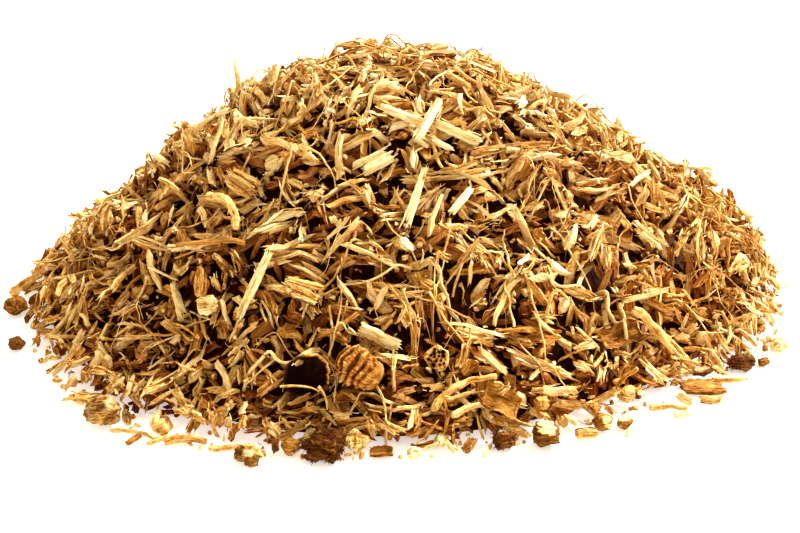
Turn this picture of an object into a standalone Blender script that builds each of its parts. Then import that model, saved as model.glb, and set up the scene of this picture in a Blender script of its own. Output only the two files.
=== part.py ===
"""A heap of cut, dried maral root: split shreds piled on a mound, with larger pieces on it and round its foot.

Metres, +Z up. The origin is on the resting plane, below the peak, and the front of the heap faces -Y.
The many shreds are one body with the mound that they lie in. Pieces that stand out are bodies of their own.
"""

import math
from dataclasses import dataclass

import bmesh
import bpy
import numpy as np
from mathutils import Matrix, Vector
from mathutils.bvhtree import BVHTree

MM = 0.001

# The mound: its height falls from the peak to a foot that is nearly a circle.
PEAK_HEIGHT = 58.0 * MM
FOOT_RADIUS = 96.0 * MM
PEAK_ROUNDNESS = 0.41
SLOPE_POWER = 2.15
# Slow swells of the foot's radius: how many to a turn, then the cosine's and the sine's share of the radius.
FOOT_SWELLS = ((1, 0.009, 0.050), (2, 0.033, 0.018), (3, 0.014, 0.016), (4, 0.008, 0.007))

# The core, which the shreds are sunk in, lies this far below the mound's surface.
CORE_DEPTH = 2.4 * MM
CORE_RIM = 1.6 * MM
CORE_SHARE = 0.965
CORE_RINGS = 6
CORE_SPOKES = 20

# The shreds that are one body with the core. They are split lengths of root, with three or four sides.
SEED = 1397
SHREDS = 322
GOLDEN_ANGLE = math.pi * (3 - math.sqrt(5))
SHRED_SHARE = 0.955
SHRED_LENGTH = (12.0 * MM, 24.0 * MM)
SHRED_WIDTH = (3.4 * MM, 5.6 * MM)
SHRED_THICKNESS = (2.4 * MM, 3.8 * MM)
SHRED_PITCH = math.radians(36)
SHRED_ROLL = math.radians(32)
SHRED_STAND = 0.22
SHRED_REACH = 0.985
SHRED_SWAY = 0.12
SHRED_SLANT = 0.12
LONG_SHREDS_RARE = 1.6
NARROW_END = (0.45, 0.95)
WIDE_END = (0.95, 0.45)
THREE_SIDED_SHARE = 0.45
THREE_SIDES = ((-1, -0.5), (1, -0.7), (0.1, 1))
FOUR_SIDES = ((-1, -1), (1, -1), (0.8, 1), (-0.9, 0.8))

# Loose pieces keep this far from the plane and from what they lie on.
FLOOR_GAP = 0.02 * MM
REST_GAP = 0.35 * MM
RAY_STEP = 0.45 * MM
RAY_HEIGHT = 0.2
MOST_STEPS_OUT = 60

PALE_WOOD = (0.78, 0.57, 0.27)
GOLD_WOOD = (0.56, 0.34, 0.12)
BROWN_BARK = (0.30, 0.15, 0.05)
DARK_BARK = (0.10, 0.05, 0.02)


@dataclass(frozen=True)
class Piece:
    """A single piece of root: its kind, its place and heading, and its size in millimetres.

    Bend is how far the middle leaves the straight line, or how far a flake's edges curl up.
    """

    name: str
    kind: str
    x: float
    y: float
    heading: float
    length: float
    width: float
    thickness: float
    bend: float
    colour: tuple


# Pieces that lie on the slope, from the top of the heap to the bottom.
ON_THE_SLOPE = (
    Piece("crossing_chip_left", "chip", 1, -30, -30, 12, 3.8, 1.3, 0.4, PALE_WOOD),
    Piece("crossing_chip_right", "chip", 14, -33.5, -18, 12, 3.4, 1.2, 0.5, PALE_WOOD),
    Piece("crossing_chip_middle", "chip", 7, -34, -108, 14.5, 3.3, 1.3, 0.5, PALE_WOOD),
    Piece("crumpled_pale_chip", "flake", -5, -39, 32, 10, 5.4, 1.3, 0.8, PALE_WOOD),
    Piece("forked_root", "fork", 27, -31, 40, 23, 2.3, 2.3, 1.6, PALE_WOOD),
    Piece("yellow_block", "nodule", -28.5, -35, 12, 4.8, 4.4, 3.6, 0, PALE_WOOD),
    Piece("layered_splinter", "chip", -36, -36, -54, 13, 5.4, 2.2, 0.9, GOLD_WOOD),
    Piece("pale_split_chip", "chip", 4, -49, -100, 17.5, 3.2, 1.4, 0.6, PALE_WOOD),
    Piece("short_pale_bar", "chip", 14, -48, -111, 9.6, 2.5, 1.3, 0.2, PALE_WOOD),
    Piece("bent_thick_rootlet", "root", -39, -46, -64, 14, 2.2, 2.2, 2.4, GOLD_WOOD),
    Piece("pale_stick_left", "chip", -48, -57, -83, 12.5, 2.2, 1.6, 0.5, PALE_WOOD),
    Piece("crumpled_lump_left", "nodule", -41, -62, -20, 5.4, 4.8, 3.6, 0, PALE_WOOD),
    Piece("long_split_left", "chip", -30, -64, -117, 18, 2.2, 1.3, 0.7, PALE_WOOD),
    Piece("flat_bright_chip", "flake", -20, -66, -35, 9.4, 6.0, 1.3, 0.9, GOLD_WOOD),
    Piece("dark_bark_curl", "flake", 49, -61, 35, 12, 5.0, 1.3, 1.6, BROWN_BARK),
    Piece("parallel_root_upper", "root", 62, -56, -36, 14, 2.3, 2.3, 1.0, GOLD_WOOD),
    Piece("parallel_root_lower", "root", 56.5, -60, -38, 13, 2.4, 2.4, 0.8, GOLD_WOOD),
    Piece("curled_chip", "chip", -3.5, -74, -36, 10.5, 2.8, 1.5, 1.3, PALE_WOOD),
    Piece("porous_root_end", "nodule", 8.5, -77, 28, 7.5, 5.0, 4.6, 0, GOLD_WOOD),
    Piece("bark_shell", "flake", -18, -79, 16, 9.0, 8.0, 1.3, 3.0, DARK_BARK),
    Piece("ribbed_root_section", "barrel", -7.5, -82, -46, 10, 8.4, 7.6, 0, BROWN_BARK),
    Piece("curved_root_front", "root", 14, -82, 42, 15.5, 2.0, 2.0, 2.2, GOLD_WOOD),
    Piece("dark_bark_plate", "flake", 21, -84, -26, 8.0, 5.0, 1.3, 0.9, BROWN_BARK),
    Piece("stick_far_left", "root", -94, -17, 172, 15, 2.4, 2.4, 0.9, GOLD_WOOD),
)

# Pieces that lie on the plane round the foot, from left to right.
ROUND_THE_FOOT = (
    Piece("root_lump_left", "nodule", -95, -26, -59, 7.0, 5.6, 5.0, 0, BROWN_BARK),
    Piece("bark_crumb_left", "nodule", -89, -46, -37, 4.6, 3.6, 3.0, 0, DARK_BARK),
    Piece("rootlet_tangle", "tangle", -67.5, -71.5, -33, 9, 1.1, 1.1, 1.8, BROWN_BARK),
    Piece("root_section_left", "nodule", -61, -80, -7, 8.0, 7.2, 6.2, 0, BROWN_BARK),
    Piece("square_cut_chunk", "chip", -48.5, -83, 80, 5.4, 4.2, 3.6, 0.2, GOLD_WOOD),
    Piece("bent_rootlet_left", "root", -53, -84, -22, 10.5, 1.1, 1.1, 1.2, GOLD_WOOD),
    Piece("dark_splinter", "chip", -53, -87.5, 62, 4.4, 1.5, 1.0, 0.3, BROWN_BARK),
    Piece("pale_splinter_left", "chip", -48.5, -88.5, 42, 4.6, 1.5, 1.0, 0.2, GOLD_WOOD),
    Piece("cut_stick_front_left", "root", -42.5, -88.5, -3, 8.6, 2.1, 2.1, 0.2, GOLD_WOOD),
    Piece("thin_stick_front", "root", -32, -91, 3, 11, 1.3, 1.3, 0.5, GOLD_WOOD),
    Piece("pale_lump_front_left", "nodule", -29, -95, -34, 6.6, 4.8, 3.6, 0, PALE_WOOD),
    Piece("brown_root_ball", "nodule", -21, -92, -3, 4.1, 4.0, 3.6, 0, BROWN_BARK),
    Piece("dark_woolly_nodule", "nodule", -14, -93.5, -1, 7.6, 7.0, 6.4, 0, DARK_BARK),
    Piece("pale_knuckle", "nodule", -8, -91, 18, 5.2, 4.4, 4.4, 0, PALE_WOOD),
    Piece("flat_brown_chip", "flake", -3, -92.5, 2, 4.6, 3.4, 1.2, 0.3, BROWN_BARK),
    Piece("pale_crumb", "nodule", 3.5, -93.5, 28, 3.4, 2.9, 2.6, 0, PALE_WOOD),
    Piece("red_splinter_bundle", "chip", 14.5, -91, 68, 5.6, 2.6, 2.0, 0.4, BROWN_BARK),
    Piece("pale_needle", "chip", 18, -92, 70, 4.6, 1.4, 1.0, 0.2, PALE_WOOD),
    Piece("dark_lump_right", "nodule", 21.5, -89.5, 9, 5.0, 4.3, 3.7, 0, DARK_BARK),
    Piece("round_nodule_right", "nodule", 30, -88.5, 9, 5.9, 5.6, 5.4, 0, GOLD_WOOD),
    Piece("wedge_chip", "chip", 38.5, -86, 8, 4.8, 3.3, 2.2, 0.1, GOLD_WOOD),
    Piece("rounded_lump_right", "nodule", 42.5, -82.5, 14, 4.3, 4.1, 3.6, 0, GOLD_WOOD),
    Piece("pink_block", "chip", 47, -82, 54, 4.0, 3.2, 2.6, 0.1, BROWN_BARK),
    Piece("pale_fibre_chip", "chip", 48, -84, 50, 5.8, 1.5, 1.0, 0.3, PALE_WOOD),
    Piece("dark_tipped_root", "root", 57.5, -75, -5, 8.0, 1.6, 1.6, 0.9, GOLD_WOOD),
    Piece("pale_chip_right", "chip", 60, -77.5, 15, 4.4, 2.2, 1.2, 0.1, PALE_WOOD),
    Piece("standing_chip_right", "chip", 62, -71, -59, 5.0, 2.2, 1.3, 0.2, PALE_WOOD),
    Piece("flat_bark_chip", "flake", 67, -66, 8, 9.4, 5.6, 1.6, 0.5, BROWN_BARK),
    Piece("pale_block_right", "chip", 67.5, -71.5, 3, 5.2, 2.4, 2.0, 0.1, GOLD_WOOD),
    Piece("thin_stick_right", "root", 74, -62, 5, 8.0, 1.3, 1.3, 0.2, GOLD_WOOD),
    Piece("dark_nodule_right", "nodule", 78, -56, 12, 7.0, 5.0, 4.2, 0, DARK_BARK),
    Piece("brown_crumb_right", "nodule", 83.5, -54, 30, 2.9, 2.6, 2.2, 0, BROWN_BARK),
    Piece("pale_lump_far_right", "nodule", 89, -47, 34, 4.4, 4.2, 3.8, 0, PALE_WOOD),
)

CHIP_STATIONS = (0.0, 0.12, 0.5, 0.88, 1.0)
CHIP_TAPER = (0.62, 0.92, 1.0, 0.9, 0.5)
CHIP_ENDS = (0, 4)
CHIP_ROUGHNESS = 0.1
ROOT_SIDES = 6
ROOT_STATIONS = 6
ROOT_KINKS = 0.18
ROOT_TAPER = 0.35
NODULE_SWELL = (0.86, 1.08)
FLAKE_ROWS = 5
FLAKE_COLUMNS = 4
FLAKE_ROUGHNESS = 0.12
FLAKE_NARROWING = 0.8
BARREL_RIBS = 5
BARREL_SIDES = 8
BARREL_END = 0.78
BARREL_GROOVE = 0.9
FORK_SHARE = 0.45
FORK_ANGLE = math.radians(24)
FORK_THINNER = 0.72
TANGLE_LUMP = (4.6, 4.0, 2.8)
TANGLE_TURNS = (8, 42, -28)
TANGLE_RISE = 0.25 * MM


def foot_radius(bearing):
    """The radius of the foot in the direction of an angle about the peak."""
    swell = sum(c * np.cos(turns * bearing) + s * np.sin(turns * bearing) for turns, c, s in FOOT_SWELLS)
    return FOOT_RADIUS * (1 + swell)


def mound_height(x, y):
    """Height of the heap's surface over the plane, below zero outside the foot."""
    share = np.hypot(x, y) / foot_radius(np.arctan2(y, x))
    top = math.sqrt(1 + PEAK_ROUNDNESS**2)
    fall = top - np.sqrt(share**SLOPE_POWER + PEAK_ROUNDNESS**2)
    return PEAK_HEIGHT * fall / (top - PEAK_ROUNDNESS)


def mound_normal(x, y):
    """The outward direction of the mound's surface above a point of the plane."""
    step = 1.0 * MM
    rise_x = (mound_height(x + step, y) - mound_height(x - step, y)) / (2 * step)
    rise_y = (mound_height(x, y + step) - mound_height(x, y - step)) / (2 * step)
    return Vector((-rise_x, -rise_y, 1)).normalized()


def make_material(name, colour, roughness=0.75):
    """A matt plant finish of one colour."""
    material = bpy.data.materials.new(name)
    material.use_nodes = True
    shader = material.node_tree.nodes["Principled BSDF"]
    shader.inputs["Base Color"].default_value = (*colour, 1)
    shader.inputs["Roughness"].default_value = roughness
    shader.inputs["Metallic"].default_value = 0
    return material


def new_object(name, bm, colour):
    """Turns a bmesh into a named object of triangles, with its own material."""
    bmesh.ops.recalc_face_normals(bm, faces=bm.faces)
    bmesh.ops.triangulate(bm, faces=bm.faces)
    mesh = bpy.data.meshes.new(name)
    bm.to_mesh(mesh)
    bm.free()
    mesh.materials.append(make_material(f"{name}_finish", colour))
    obj = bpy.data.objects.new(name, mesh)
    bpy.context.scene.collection.objects.link(obj)
    return obj


def loft(rings):
    """A closed bmesh through rings of points, with a flat face on its first and last ring."""
    bm = bmesh.new()
    made = [[bm.verts.new(point) for point in ring] for ring in rings]
    count = len(made[0])
    for first, second in zip(made, made[1:]):
        for i in range(count):
            j = (i + 1) % count
            bm.faces.new((first[i], first[j], second[j], second[i]))
    bm.faces.new(made[0][::-1])
    bm.faces.new(made[-1])
    return bm


def make_core():
    """The mound under the shreds: rings of points on the lowered surface, a rim and a flat underside."""
    bm = bmesh.new()
    peak = bm.verts.new((0, 0, PEAK_HEIGHT - CORE_DEPTH))
    rings = []
    for ring in range(1, CORE_RINGS + 1):
        points = []
        for spoke in range(CORE_SPOKES):
            bearing = 2 * math.pi * spoke / CORE_SPOKES
            radius = CORE_SHARE * ring / CORE_RINGS * float(foot_radius(bearing))
            x = radius * math.cos(bearing)
            y = radius * math.sin(bearing)
            height = max(float(mound_height(x, y)) - CORE_DEPTH, CORE_RIM)
            points.append(bm.verts.new((x, y, height)))
        rings.append(points)
    rings.append([bm.verts.new((v.co.x, v.co.y, 0)) for v in rings[-1]])
    for i in range(CORE_SPOKES):
        j = (i + 1) % CORE_SPOKES
        bm.faces.new((peak, rings[0][i], rings[0][j]))
        for inner, outer in zip(rings, rings[1:]):
            bm.faces.new((inner[i], outer[i], outer[j], inner[j]))
    bm.faces.new(rings[-1])
    return new_object("shred_heap", bm, GOLD_WOOD)


def between(limits, share):
    """The value that lies a share of the way from the first limit to the second."""
    return limits[0] + (limits[1] - limits[0]) * share


def ends_share(x, y, along, step):
    """How far out from the peak a shred's end lies, as a share of the foot's radius there."""
    end_x = x + along.x * step
    end_y = y + along.y * step
    return math.hypot(end_x, end_y) / float(foot_radius(math.atan2(end_y, end_x)))


def make_shred(index, draw):
    """One fused shred: a tapered block that lies near the slope, turned, pitched and rolled by its draws."""
    bearing = index * GOLDEN_ANGLE + SHRED_SWAY * (draw[0] - 0.5)
    radius = SHRED_SHARE * math.sqrt((index + 0.5) / SHREDS) * float(foot_radius(bearing))
    x = radius * math.cos(bearing)
    y = radius * math.sin(bearing)
    normal = mound_normal(x, y)
    heading = 2 * math.pi * draw[1]
    along = Vector((math.cos(heading), math.sin(heading), 0))
    along = (along - along.dot(normal) * normal).normalized()
    lean = 2 * draw[2] - 1
    pitch = SHRED_PITCH * lean * abs(lean)
    along = along * math.cos(pitch) + normal * math.sin(pitch)
    roll = SHRED_ROLL * (2 * draw[3] - 1)
    side = Matrix.Rotation(roll, 3, along) @ normal.cross(along).normalized()
    up = along.cross(side)
    length = between(SHRED_LENGTH, draw[4] ** LONG_SHREDS_RARE)
    width = between(SHRED_WIDTH, draw[5])
    thickness = between(SHRED_THICKNESS, draw[6])
    reach = max(ends_share(x, y, along, 0.5 * length * end) for end in (-1, 1))
    inward = min(1.0, SHRED_REACH / reach)
    x *= inward
    y *= inward
    ground = max(float(mound_height(x, y)) - CORE_DEPTH, CORE_RIM)
    centre = Vector((x, y, ground)) + normal * SHRED_STAND * thickness
    section = THREE_SIDES if draw[7] < THREE_SIDED_SHARE else FOUR_SIDES
    rings = []
    for end, grow in ((-1, between(NARROW_END, draw[8])), (1, between(WIDE_END, draw[8]))):
        ring = []
        for n, (across, over) in enumerate(section):
            slant = SHRED_SLANT * math.cos(2.4 * n + 6 * draw[8])
            point = centre + along * length * end * (0.5 + slant)
            point += (side * width * across + up * thickness * over) * 0.5 * grow
            ring.append(point)
        rings.append(ring)
    lowest = min(point.z for ring in rings for point in ring)
    lift = Vector((0, 0, max(0.0, FLOOR_GAP - lowest)))
    return new_object(f"shred_{index}", loft([[p + lift for p in ring] for ring in rings]), GOLD_WOOD)


def fuse(base, pieces):
    """Joins the pieces to the base by one union, then drops scraps and fills sealed hollows."""
    group = bpy.data.collections.new("fused_pieces")
    bpy.context.scene.collection.children.link(group)
    for piece in pieces:
        bpy.context.scene.collection.objects.unlink(piece)
        group.objects.link(piece)
    union = base.modifiers.new("union", "BOOLEAN")
    union.operation = "UNION"
    union.operand_type = "COLLECTION"
    union.collection = group
    union.solver = "MANIFOLD"
    bpy.context.view_layer.update()
    graph = bpy.context.evaluated_depsgraph_get()
    fused = bpy.data.meshes.new_from_object(base.evaluated_get(graph))
    base.modifiers.clear()
    base.data = fused
    for piece in pieces:
        bpy.data.objects.remove(piece)
    bpy.data.collections.remove(group)
    keep_largest_body(fused)
    finish = fused.materials[0]
    fused.materials.clear()
    fused.materials.append(finish)


def keep_largest_body(mesh):
    """Deletes every body of a mesh but the one with the most points: scraps, and the walls of hollows."""
    bm = bmesh.new()
    bm.from_mesh(mesh)
    seen = set()
    bodies = []
    for start in bm.verts:
        if start in seen:
            continue
        body = [start]
        seen.add(start)
        for vert in body:
            for edge in vert.link_edges:
                other = edge.other_vert(vert)
                if other not in seen:
                    seen.add(other)
                    body.append(other)
        bodies.append(body)
    bodies.sort(key=len)
    for body in bodies[:-1]:
        bmesh.ops.delete(bm, geom=body, context="VERTS")
    for face in bm.faces:
        face.material_index = 0
    bmesh.ops.triangulate(bm, faces=bm.faces)
    bm.to_mesh(mesh)
    bm.free()


def chip_rings(piece, rng):
    """A split length of root: four uneven sides, thinner at its slanted ends, with a slight bend."""
    corners = ((-1, -1), (1, -0.9), (0.9, 1), (-0.85, 0.8))
    rough = rng.uniform(-CHIP_ROUGHNESS, CHIP_ROUGHNESS, (len(CHIP_STATIONS), 4, 3))
    rings = []
    for s, (station, taper) in enumerate(zip(CHIP_STATIONS, CHIP_TAPER)):
        rise = piece.bend * 4 * station * (1 - station)
        ring = []
        for n, (across, over) in enumerate(corners):
            x = (station - 0.5 + 0.5 * rough[s, n, 0] * (s in CHIP_ENDS)) * piece.length
            y = 0.5 * piece.width * taper * (across + rough[s, n, 1])
            z = 0.5 * piece.thickness * (0.4 + 0.6 * taper) * (over + rough[s, n, 2]) + rise
            ring.append(Vector((x, y, z)) * MM)
        rings.append(ring)
    return rings


def root_rings(piece, rng, length=None, width=None):
    """A thin root: six sides, tapered a little to one end, with a bend in plan and small kinks."""
    length = length or piece.length
    width = width or piece.width
    kinks = rng.uniform(-ROOT_KINKS, ROOT_KINKS, (ROOT_STATIONS, 2)) * width
    rings = []
    for s in range(ROOT_STATIONS):
        station = s / (ROOT_STATIONS - 1)
        x = (station - 0.5) * length
        y = piece.bend * 4 * station * (1 - station) + kinks[s, 0]
        radius = 0.5 * width * (1.0 - ROOT_TAPER * station)
        ring = []
        for n in range(ROOT_SIDES):
            turn = 2 * math.pi * n / ROOT_SIDES
            ring.append(Vector((x, y + radius * math.cos(turn), kinks[s, 1] + radius * math.sin(turn))) * MM)
        rings.append(ring)
    return rings


def nodule_mesh(piece, rng):
    """A lump of root: a sphere of triangles, stretched, with its points pushed in and out a little."""
    bm = bmesh.new()
    bmesh.ops.create_icosphere(bm, subdivisions=2, radius=0.5)
    swell = rng.uniform(*NODULE_SWELL, len(bm.verts))
    size = (piece.length, piece.width, piece.thickness)
    for vert, grow in zip(bm.verts, swell):
        vert.co = Vector([c * side * grow * MM for c, side in zip(vert.co, size)])
    return bm


def barrel_rings(piece):
    """A short thick section of root: rings that swell and draw in between its ribs."""
    stations = 2 * BARREL_RIBS + 1
    rings = []
    for s in range(stations):
        station = s / (stations - 1)
        swell = BARREL_END + (1 - BARREL_END) * math.sin(math.pi * station)
        rib = 1.0 if s % 2 else BARREL_GROOVE
        ring = []
        for n in range(BARREL_SIDES):
            turn = 2 * math.pi * (n + 0.5) / BARREL_SIDES
            y = 0.5 * piece.width * swell * rib * math.cos(turn)
            z = 0.5 * piece.thickness * swell * rib * math.sin(turn)
            ring.append(Vector(((station - 0.5) * piece.length, y, z)) * MM)
        rings.append(ring)
    return rings


def flake_mesh(piece, rng):
    """A thin plate of bark or wood whose long edges curl up, with an uneven outline."""
    bm = bmesh.new()
    rough = rng.uniform(-FLAKE_ROUGHNESS, FLAKE_ROUGHNESS, (FLAKE_ROWS, FLAKE_COLUMNS, 3))
    layers = []
    for over in (0, piece.thickness):
        grid = []
        for i in range(FLAKE_ROWS):
            row = []
            for j in range(FLAKE_COLUMNS):
                u = i / (FLAKE_ROWS - 1) - 0.5
                v = j / (FLAKE_COLUMNS - 1) - 0.5
                narrow = 1 - FLAKE_NARROWING * u * u
                x = piece.length * (u + 0.3 * rough[i, j, 0] * (abs(u) > 0.4))
                y = piece.width * v * narrow * (1 + rough[i, j, 1])
                z = 4 * piece.bend * v * v + 0.5 * piece.thickness * rough[i, j, 2] + over
                row.append(bm.verts.new(Vector((x, y, z)) * MM))
            grid.append(row)
        layers.append(grid)
    low, high = layers
    for i in range(FLAKE_ROWS - 1):
        for j in range(FLAKE_COLUMNS - 1):
            for grid in layers:
                bm.faces.new((grid[i][j], grid[i + 1][j], grid[i + 1][j + 1], grid[i][j + 1]))
    last_row = FLAKE_ROWS - 1
    last_column = FLAKE_COLUMNS - 1
    edge = [(i, 0) for i in range(last_row)] + [(last_row, j) for j in range(last_column)]
    edge += [(i, last_column) for i in range(last_row, 0, -1)] + [(0, j) for j in range(last_column, 0, -1)]
    for (a, b), (c, d) in zip(edge, edge[1:] + edge[:1]):
        bm.faces.new((low[a][b], low[c][d], high[c][d], high[a][b]))
    return bm


def make_fork(piece, rng):
    """A root that splits in two: a second, thinner root joined to the first by a union."""
    main = new_object(piece.name, loft(root_rings(piece, rng)), piece.colour)
    branch_length = piece.length * (1 - FORK_SHARE)
    rings = root_rings(piece, rng, branch_length, piece.width * FORK_THINNER)
    turned = Matrix.Rotation(-FORK_ANGLE, 4, "Z")
    start = Vector((piece.length * (FORK_SHARE - 0.5), piece.bend * 0.8, 0.1)) * MM
    half = Vector((0.5 * branch_length * MM, 0, 0))
    rings = [[turned @ (point + half) + start for point in ring] for ring in rings]
    branch = new_object("branch", loft(rings), piece.colour)
    fuse(main, [branch])
    return main


def make_tangle(piece, rng):
    """A knot of three rootlets about a small lump, joined by a union."""
    lump_shape = Piece(piece.name, "nodule", 0, 0, 0, *TANGLE_LUMP, 0, piece.colour)
    lump = new_object(piece.name, nodule_mesh(lump_shape, rng), piece.colour)
    rootlets = []
    for n, turn in enumerate(TANGLE_TURNS):
        rings = root_rings(piece, rng)
        turned = Matrix.Translation((0, 0, TANGLE_RISE * n)) @ Matrix.Rotation(math.radians(turn), 4, "Z")
        rings = [[turned @ point for point in ring] for ring in rings]
        rootlets.append(new_object(f"rootlet_{n}", loft(rings), piece.colour))
    fuse(lump, rootlets)
    return lump


def make_piece(index, piece):
    """The piece's own solid, lying along X about the origin."""
    rng = np.random.default_rng(SEED + 1 + index)
    if piece.kind == "fork":
        return make_fork(piece, rng)
    if piece.kind == "tangle":
        return make_tangle(piece, rng)
    if piece.kind == "nodule":
        return new_object(piece.name, nodule_mesh(piece, rng), piece.colour)
    if piece.kind == "flake":
        return new_object(piece.name, flake_mesh(piece, rng), piece.colour)
    if piece.kind == "barrel":
        return new_object(piece.name, loft(barrel_rings(piece)), piece.colour)
    rings = chip_rings(piece, rng) if piece.kind == "chip" else root_rings(piece, rng)
    return new_object(piece.name, loft(rings), piece.colour)


def tree_of(obj, shift=Vector()):
    """A search tree of the object's triangles, in the scene's frame, moved by a shift."""
    points = [obj.matrix_world @ v.co + shift for v in obj.data.vertices]
    return BVHTree.FromPolygons(points, [p.vertices for p in obj.data.polygons])


def rise_to_clear(obj, obstacles):
    """How far up an object must go to stand clear of the obstacles, found by rays over its plan."""
    own = tree_of(obj)
    corners = [obj.matrix_world @ v.co for v in obj.data.vertices]
    low_x, high_x = min(c.x for c in corners), max(c.x for c in corners)
    low_y, high_y = min(c.y for c in corners), max(c.y for c in corners)
    rise = -RAY_HEIGHT
    for x in np.arange(low_x - RAY_STEP, high_x + RAY_STEP, RAY_STEP):
        for y in np.arange(low_y - RAY_STEP, high_y + RAY_STEP, RAY_STEP):
            under = own.ray_cast((x, y, -RAY_HEIGHT), (0, 0, 1))[0]
            if under is None:
                continue
            for obstacle in obstacles:
                over = obstacle.ray_cast((x, y, RAY_HEIGHT), (0, 0, -1))[0]
                if over is not None:
                    rise = max(rise, over.z - under.z + REST_GAP)
    return rise


def lay_on_slope(obj, piece, obstacles):
    """Turns a piece to the slope and lowers it until it lies on what is below it."""
    x, y = piece.x * MM, piece.y * MM
    normal = mound_normal(x, y)
    heading = math.radians(piece.heading)
    along = Vector((math.cos(heading), math.sin(heading), 0))
    along = (along - along.dot(normal) * normal).normalized()
    side = normal.cross(along)
    obj.matrix_world = Matrix.Translation((x, y, 0)) @ Matrix((along, side, normal)).transposed().to_4x4()
    settle(obj, obstacles)


def settle(obj, obstacles):
    """Lifts an object by the height that clears the obstacles, then by steps while any face cuts one."""
    lift = Vector((0, 0, rise_to_clear(obj, obstacles)))
    while any(tree_of(obj, lift).overlap(obstacle) for obstacle in obstacles):
        lift.z += REST_GAP
    obj.matrix_world = Matrix.Translation(lift) @ obj.matrix_world
    bpy.context.view_layer.update()


def lay_on_plane(obj, piece, obstacles):
    """Lays a piece on the plane, moved straight out from the heap until nothing is above or in it."""
    bearing = math.atan2(piece.y, piece.x)
    outward = Vector((math.cos(bearing), math.sin(bearing), 0))
    turned = Matrix.Rotation(math.radians(piece.heading), 4, "Z")
    lowest = min(v.co.z for v in obj.data.vertices)
    place = Vector((piece.x * MM, piece.y * MM, FLOOR_GAP - lowest))
    for _ in range(MOST_STEPS_OUT):
        obj.matrix_world = Matrix.Translation(place) @ turned
        if rise_to_clear(obj, obstacles) <= 0 and not any(tree_of(obj).overlap(tree) for tree in obstacles):
            break
        place += outward * REST_GAP
    bpy.context.view_layer.update()


def main():
    """Builds the fused heap, then lays each single piece where it stands clear."""
    for obj in list(bpy.data.objects):
        bpy.data.objects.remove(obj)
    heap = make_core()
    draws = np.random.default_rng(SEED).uniform(0, 1, (SHREDS, 9))
    fuse(heap, [make_shred(i, draw) for i, draw in enumerate(draws)])
    laid = [tree_of(heap)]
    for index, piece in enumerate(ON_THE_SLOPE):
        obj = make_piece(index, piece)
        lay_on_slope(obj, piece, laid)
        laid.append(tree_of(obj))
    for index, piece in enumerate(ROUND_THE_FOOT, len(ON_THE_SLOPE)):
        obj = make_piece(index, piece)
        lay_on_plane(obj, piece, laid)
        laid.append(tree_of(obj))


main()
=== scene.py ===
"""The look of a heap of cut, dried maral root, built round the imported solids.

Metres, +Z up, the front of the heap towards -Y. Thousands of shreds are laid one by one on a map of the
heap's height, so that each rests on what is under it, and the single larger pieces take their solids' places.
"""

import logging
import math
from collections.abc import Sequence
from dataclasses import dataclass, field, replace
from enum import Enum

import bpy
import numpy as np
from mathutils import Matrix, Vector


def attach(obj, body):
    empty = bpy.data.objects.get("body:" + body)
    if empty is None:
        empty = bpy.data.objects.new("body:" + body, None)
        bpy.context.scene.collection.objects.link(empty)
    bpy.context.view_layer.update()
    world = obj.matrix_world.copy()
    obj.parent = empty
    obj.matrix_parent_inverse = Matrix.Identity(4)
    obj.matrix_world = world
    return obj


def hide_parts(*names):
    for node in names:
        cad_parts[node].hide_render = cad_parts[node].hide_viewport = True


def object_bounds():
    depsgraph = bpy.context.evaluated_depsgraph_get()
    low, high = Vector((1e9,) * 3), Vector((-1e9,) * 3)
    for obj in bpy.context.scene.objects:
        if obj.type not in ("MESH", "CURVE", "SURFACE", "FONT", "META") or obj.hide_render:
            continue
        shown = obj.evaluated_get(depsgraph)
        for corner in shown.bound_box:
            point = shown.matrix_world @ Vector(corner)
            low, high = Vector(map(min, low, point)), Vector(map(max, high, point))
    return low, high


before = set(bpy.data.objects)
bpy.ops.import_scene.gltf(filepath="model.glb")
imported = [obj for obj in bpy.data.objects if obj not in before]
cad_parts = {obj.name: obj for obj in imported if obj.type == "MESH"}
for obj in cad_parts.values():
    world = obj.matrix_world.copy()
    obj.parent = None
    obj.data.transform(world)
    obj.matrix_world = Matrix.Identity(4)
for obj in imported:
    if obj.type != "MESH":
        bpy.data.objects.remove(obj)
CAD_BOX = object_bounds()

log = logging.getLogger("maral_root")

MM = 0.001
SEED = 9071
GOLDEN = math.pi * (3 - math.sqrt(5))
FULL_TURN = 2 * math.pi
LOWEST = 0.15 * MM
SQUEEZE = 0.8 * MM
GRAIN_SHIFT = (7.31, 3.17)
POLE_RUN = 0.3
BAKE_START = (0.06, 0.08)
BAKE_SPAN = (0.88, 0.84)
PULLS = 14

Draws = np.random.Generator
Span = tuple[float, float]
Triple = tuple[float, float, float]


def unit(vectors: np.ndarray) -> np.ndarray:
    """Vectors scaled to length one along the last axis."""
    return vectors / np.maximum(np.linalg.norm(vectors, axis=-1, keepdims=True), 1e-12)


def spread(rng: Draws, limits: Span, shape: tuple[int, ...] | int) -> np.ndarray:
    """Even random values between two limits."""
    return rng.uniform(limits[0], limits[1], shape)


def ripple(points: np.ndarray, wave: float, rng: Draws, waves: int = 9) -> np.ndarray:
    """Smooth noise of about one unit: the mean of plane waves of nearly one wavelength in random directions.

    Args:
        points: Places, with x, y and z on the last axis.
        wave: The wavelength, in the units of the points.
        rng: The seeded draws.
        waves: How many plane waves are added.

    Returns:
        The noise at each place.
    """
    ways = unit(rng.normal(size=(waves, 3))) * (FULL_TURN / wave) * spread(rng, (0.7, 1.4), (waves, 1))
    return np.sin(points @ ways.T + spread(rng, (0, FULL_TURN), waves)).sum(-1) * math.sqrt(2 / waves)


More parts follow.
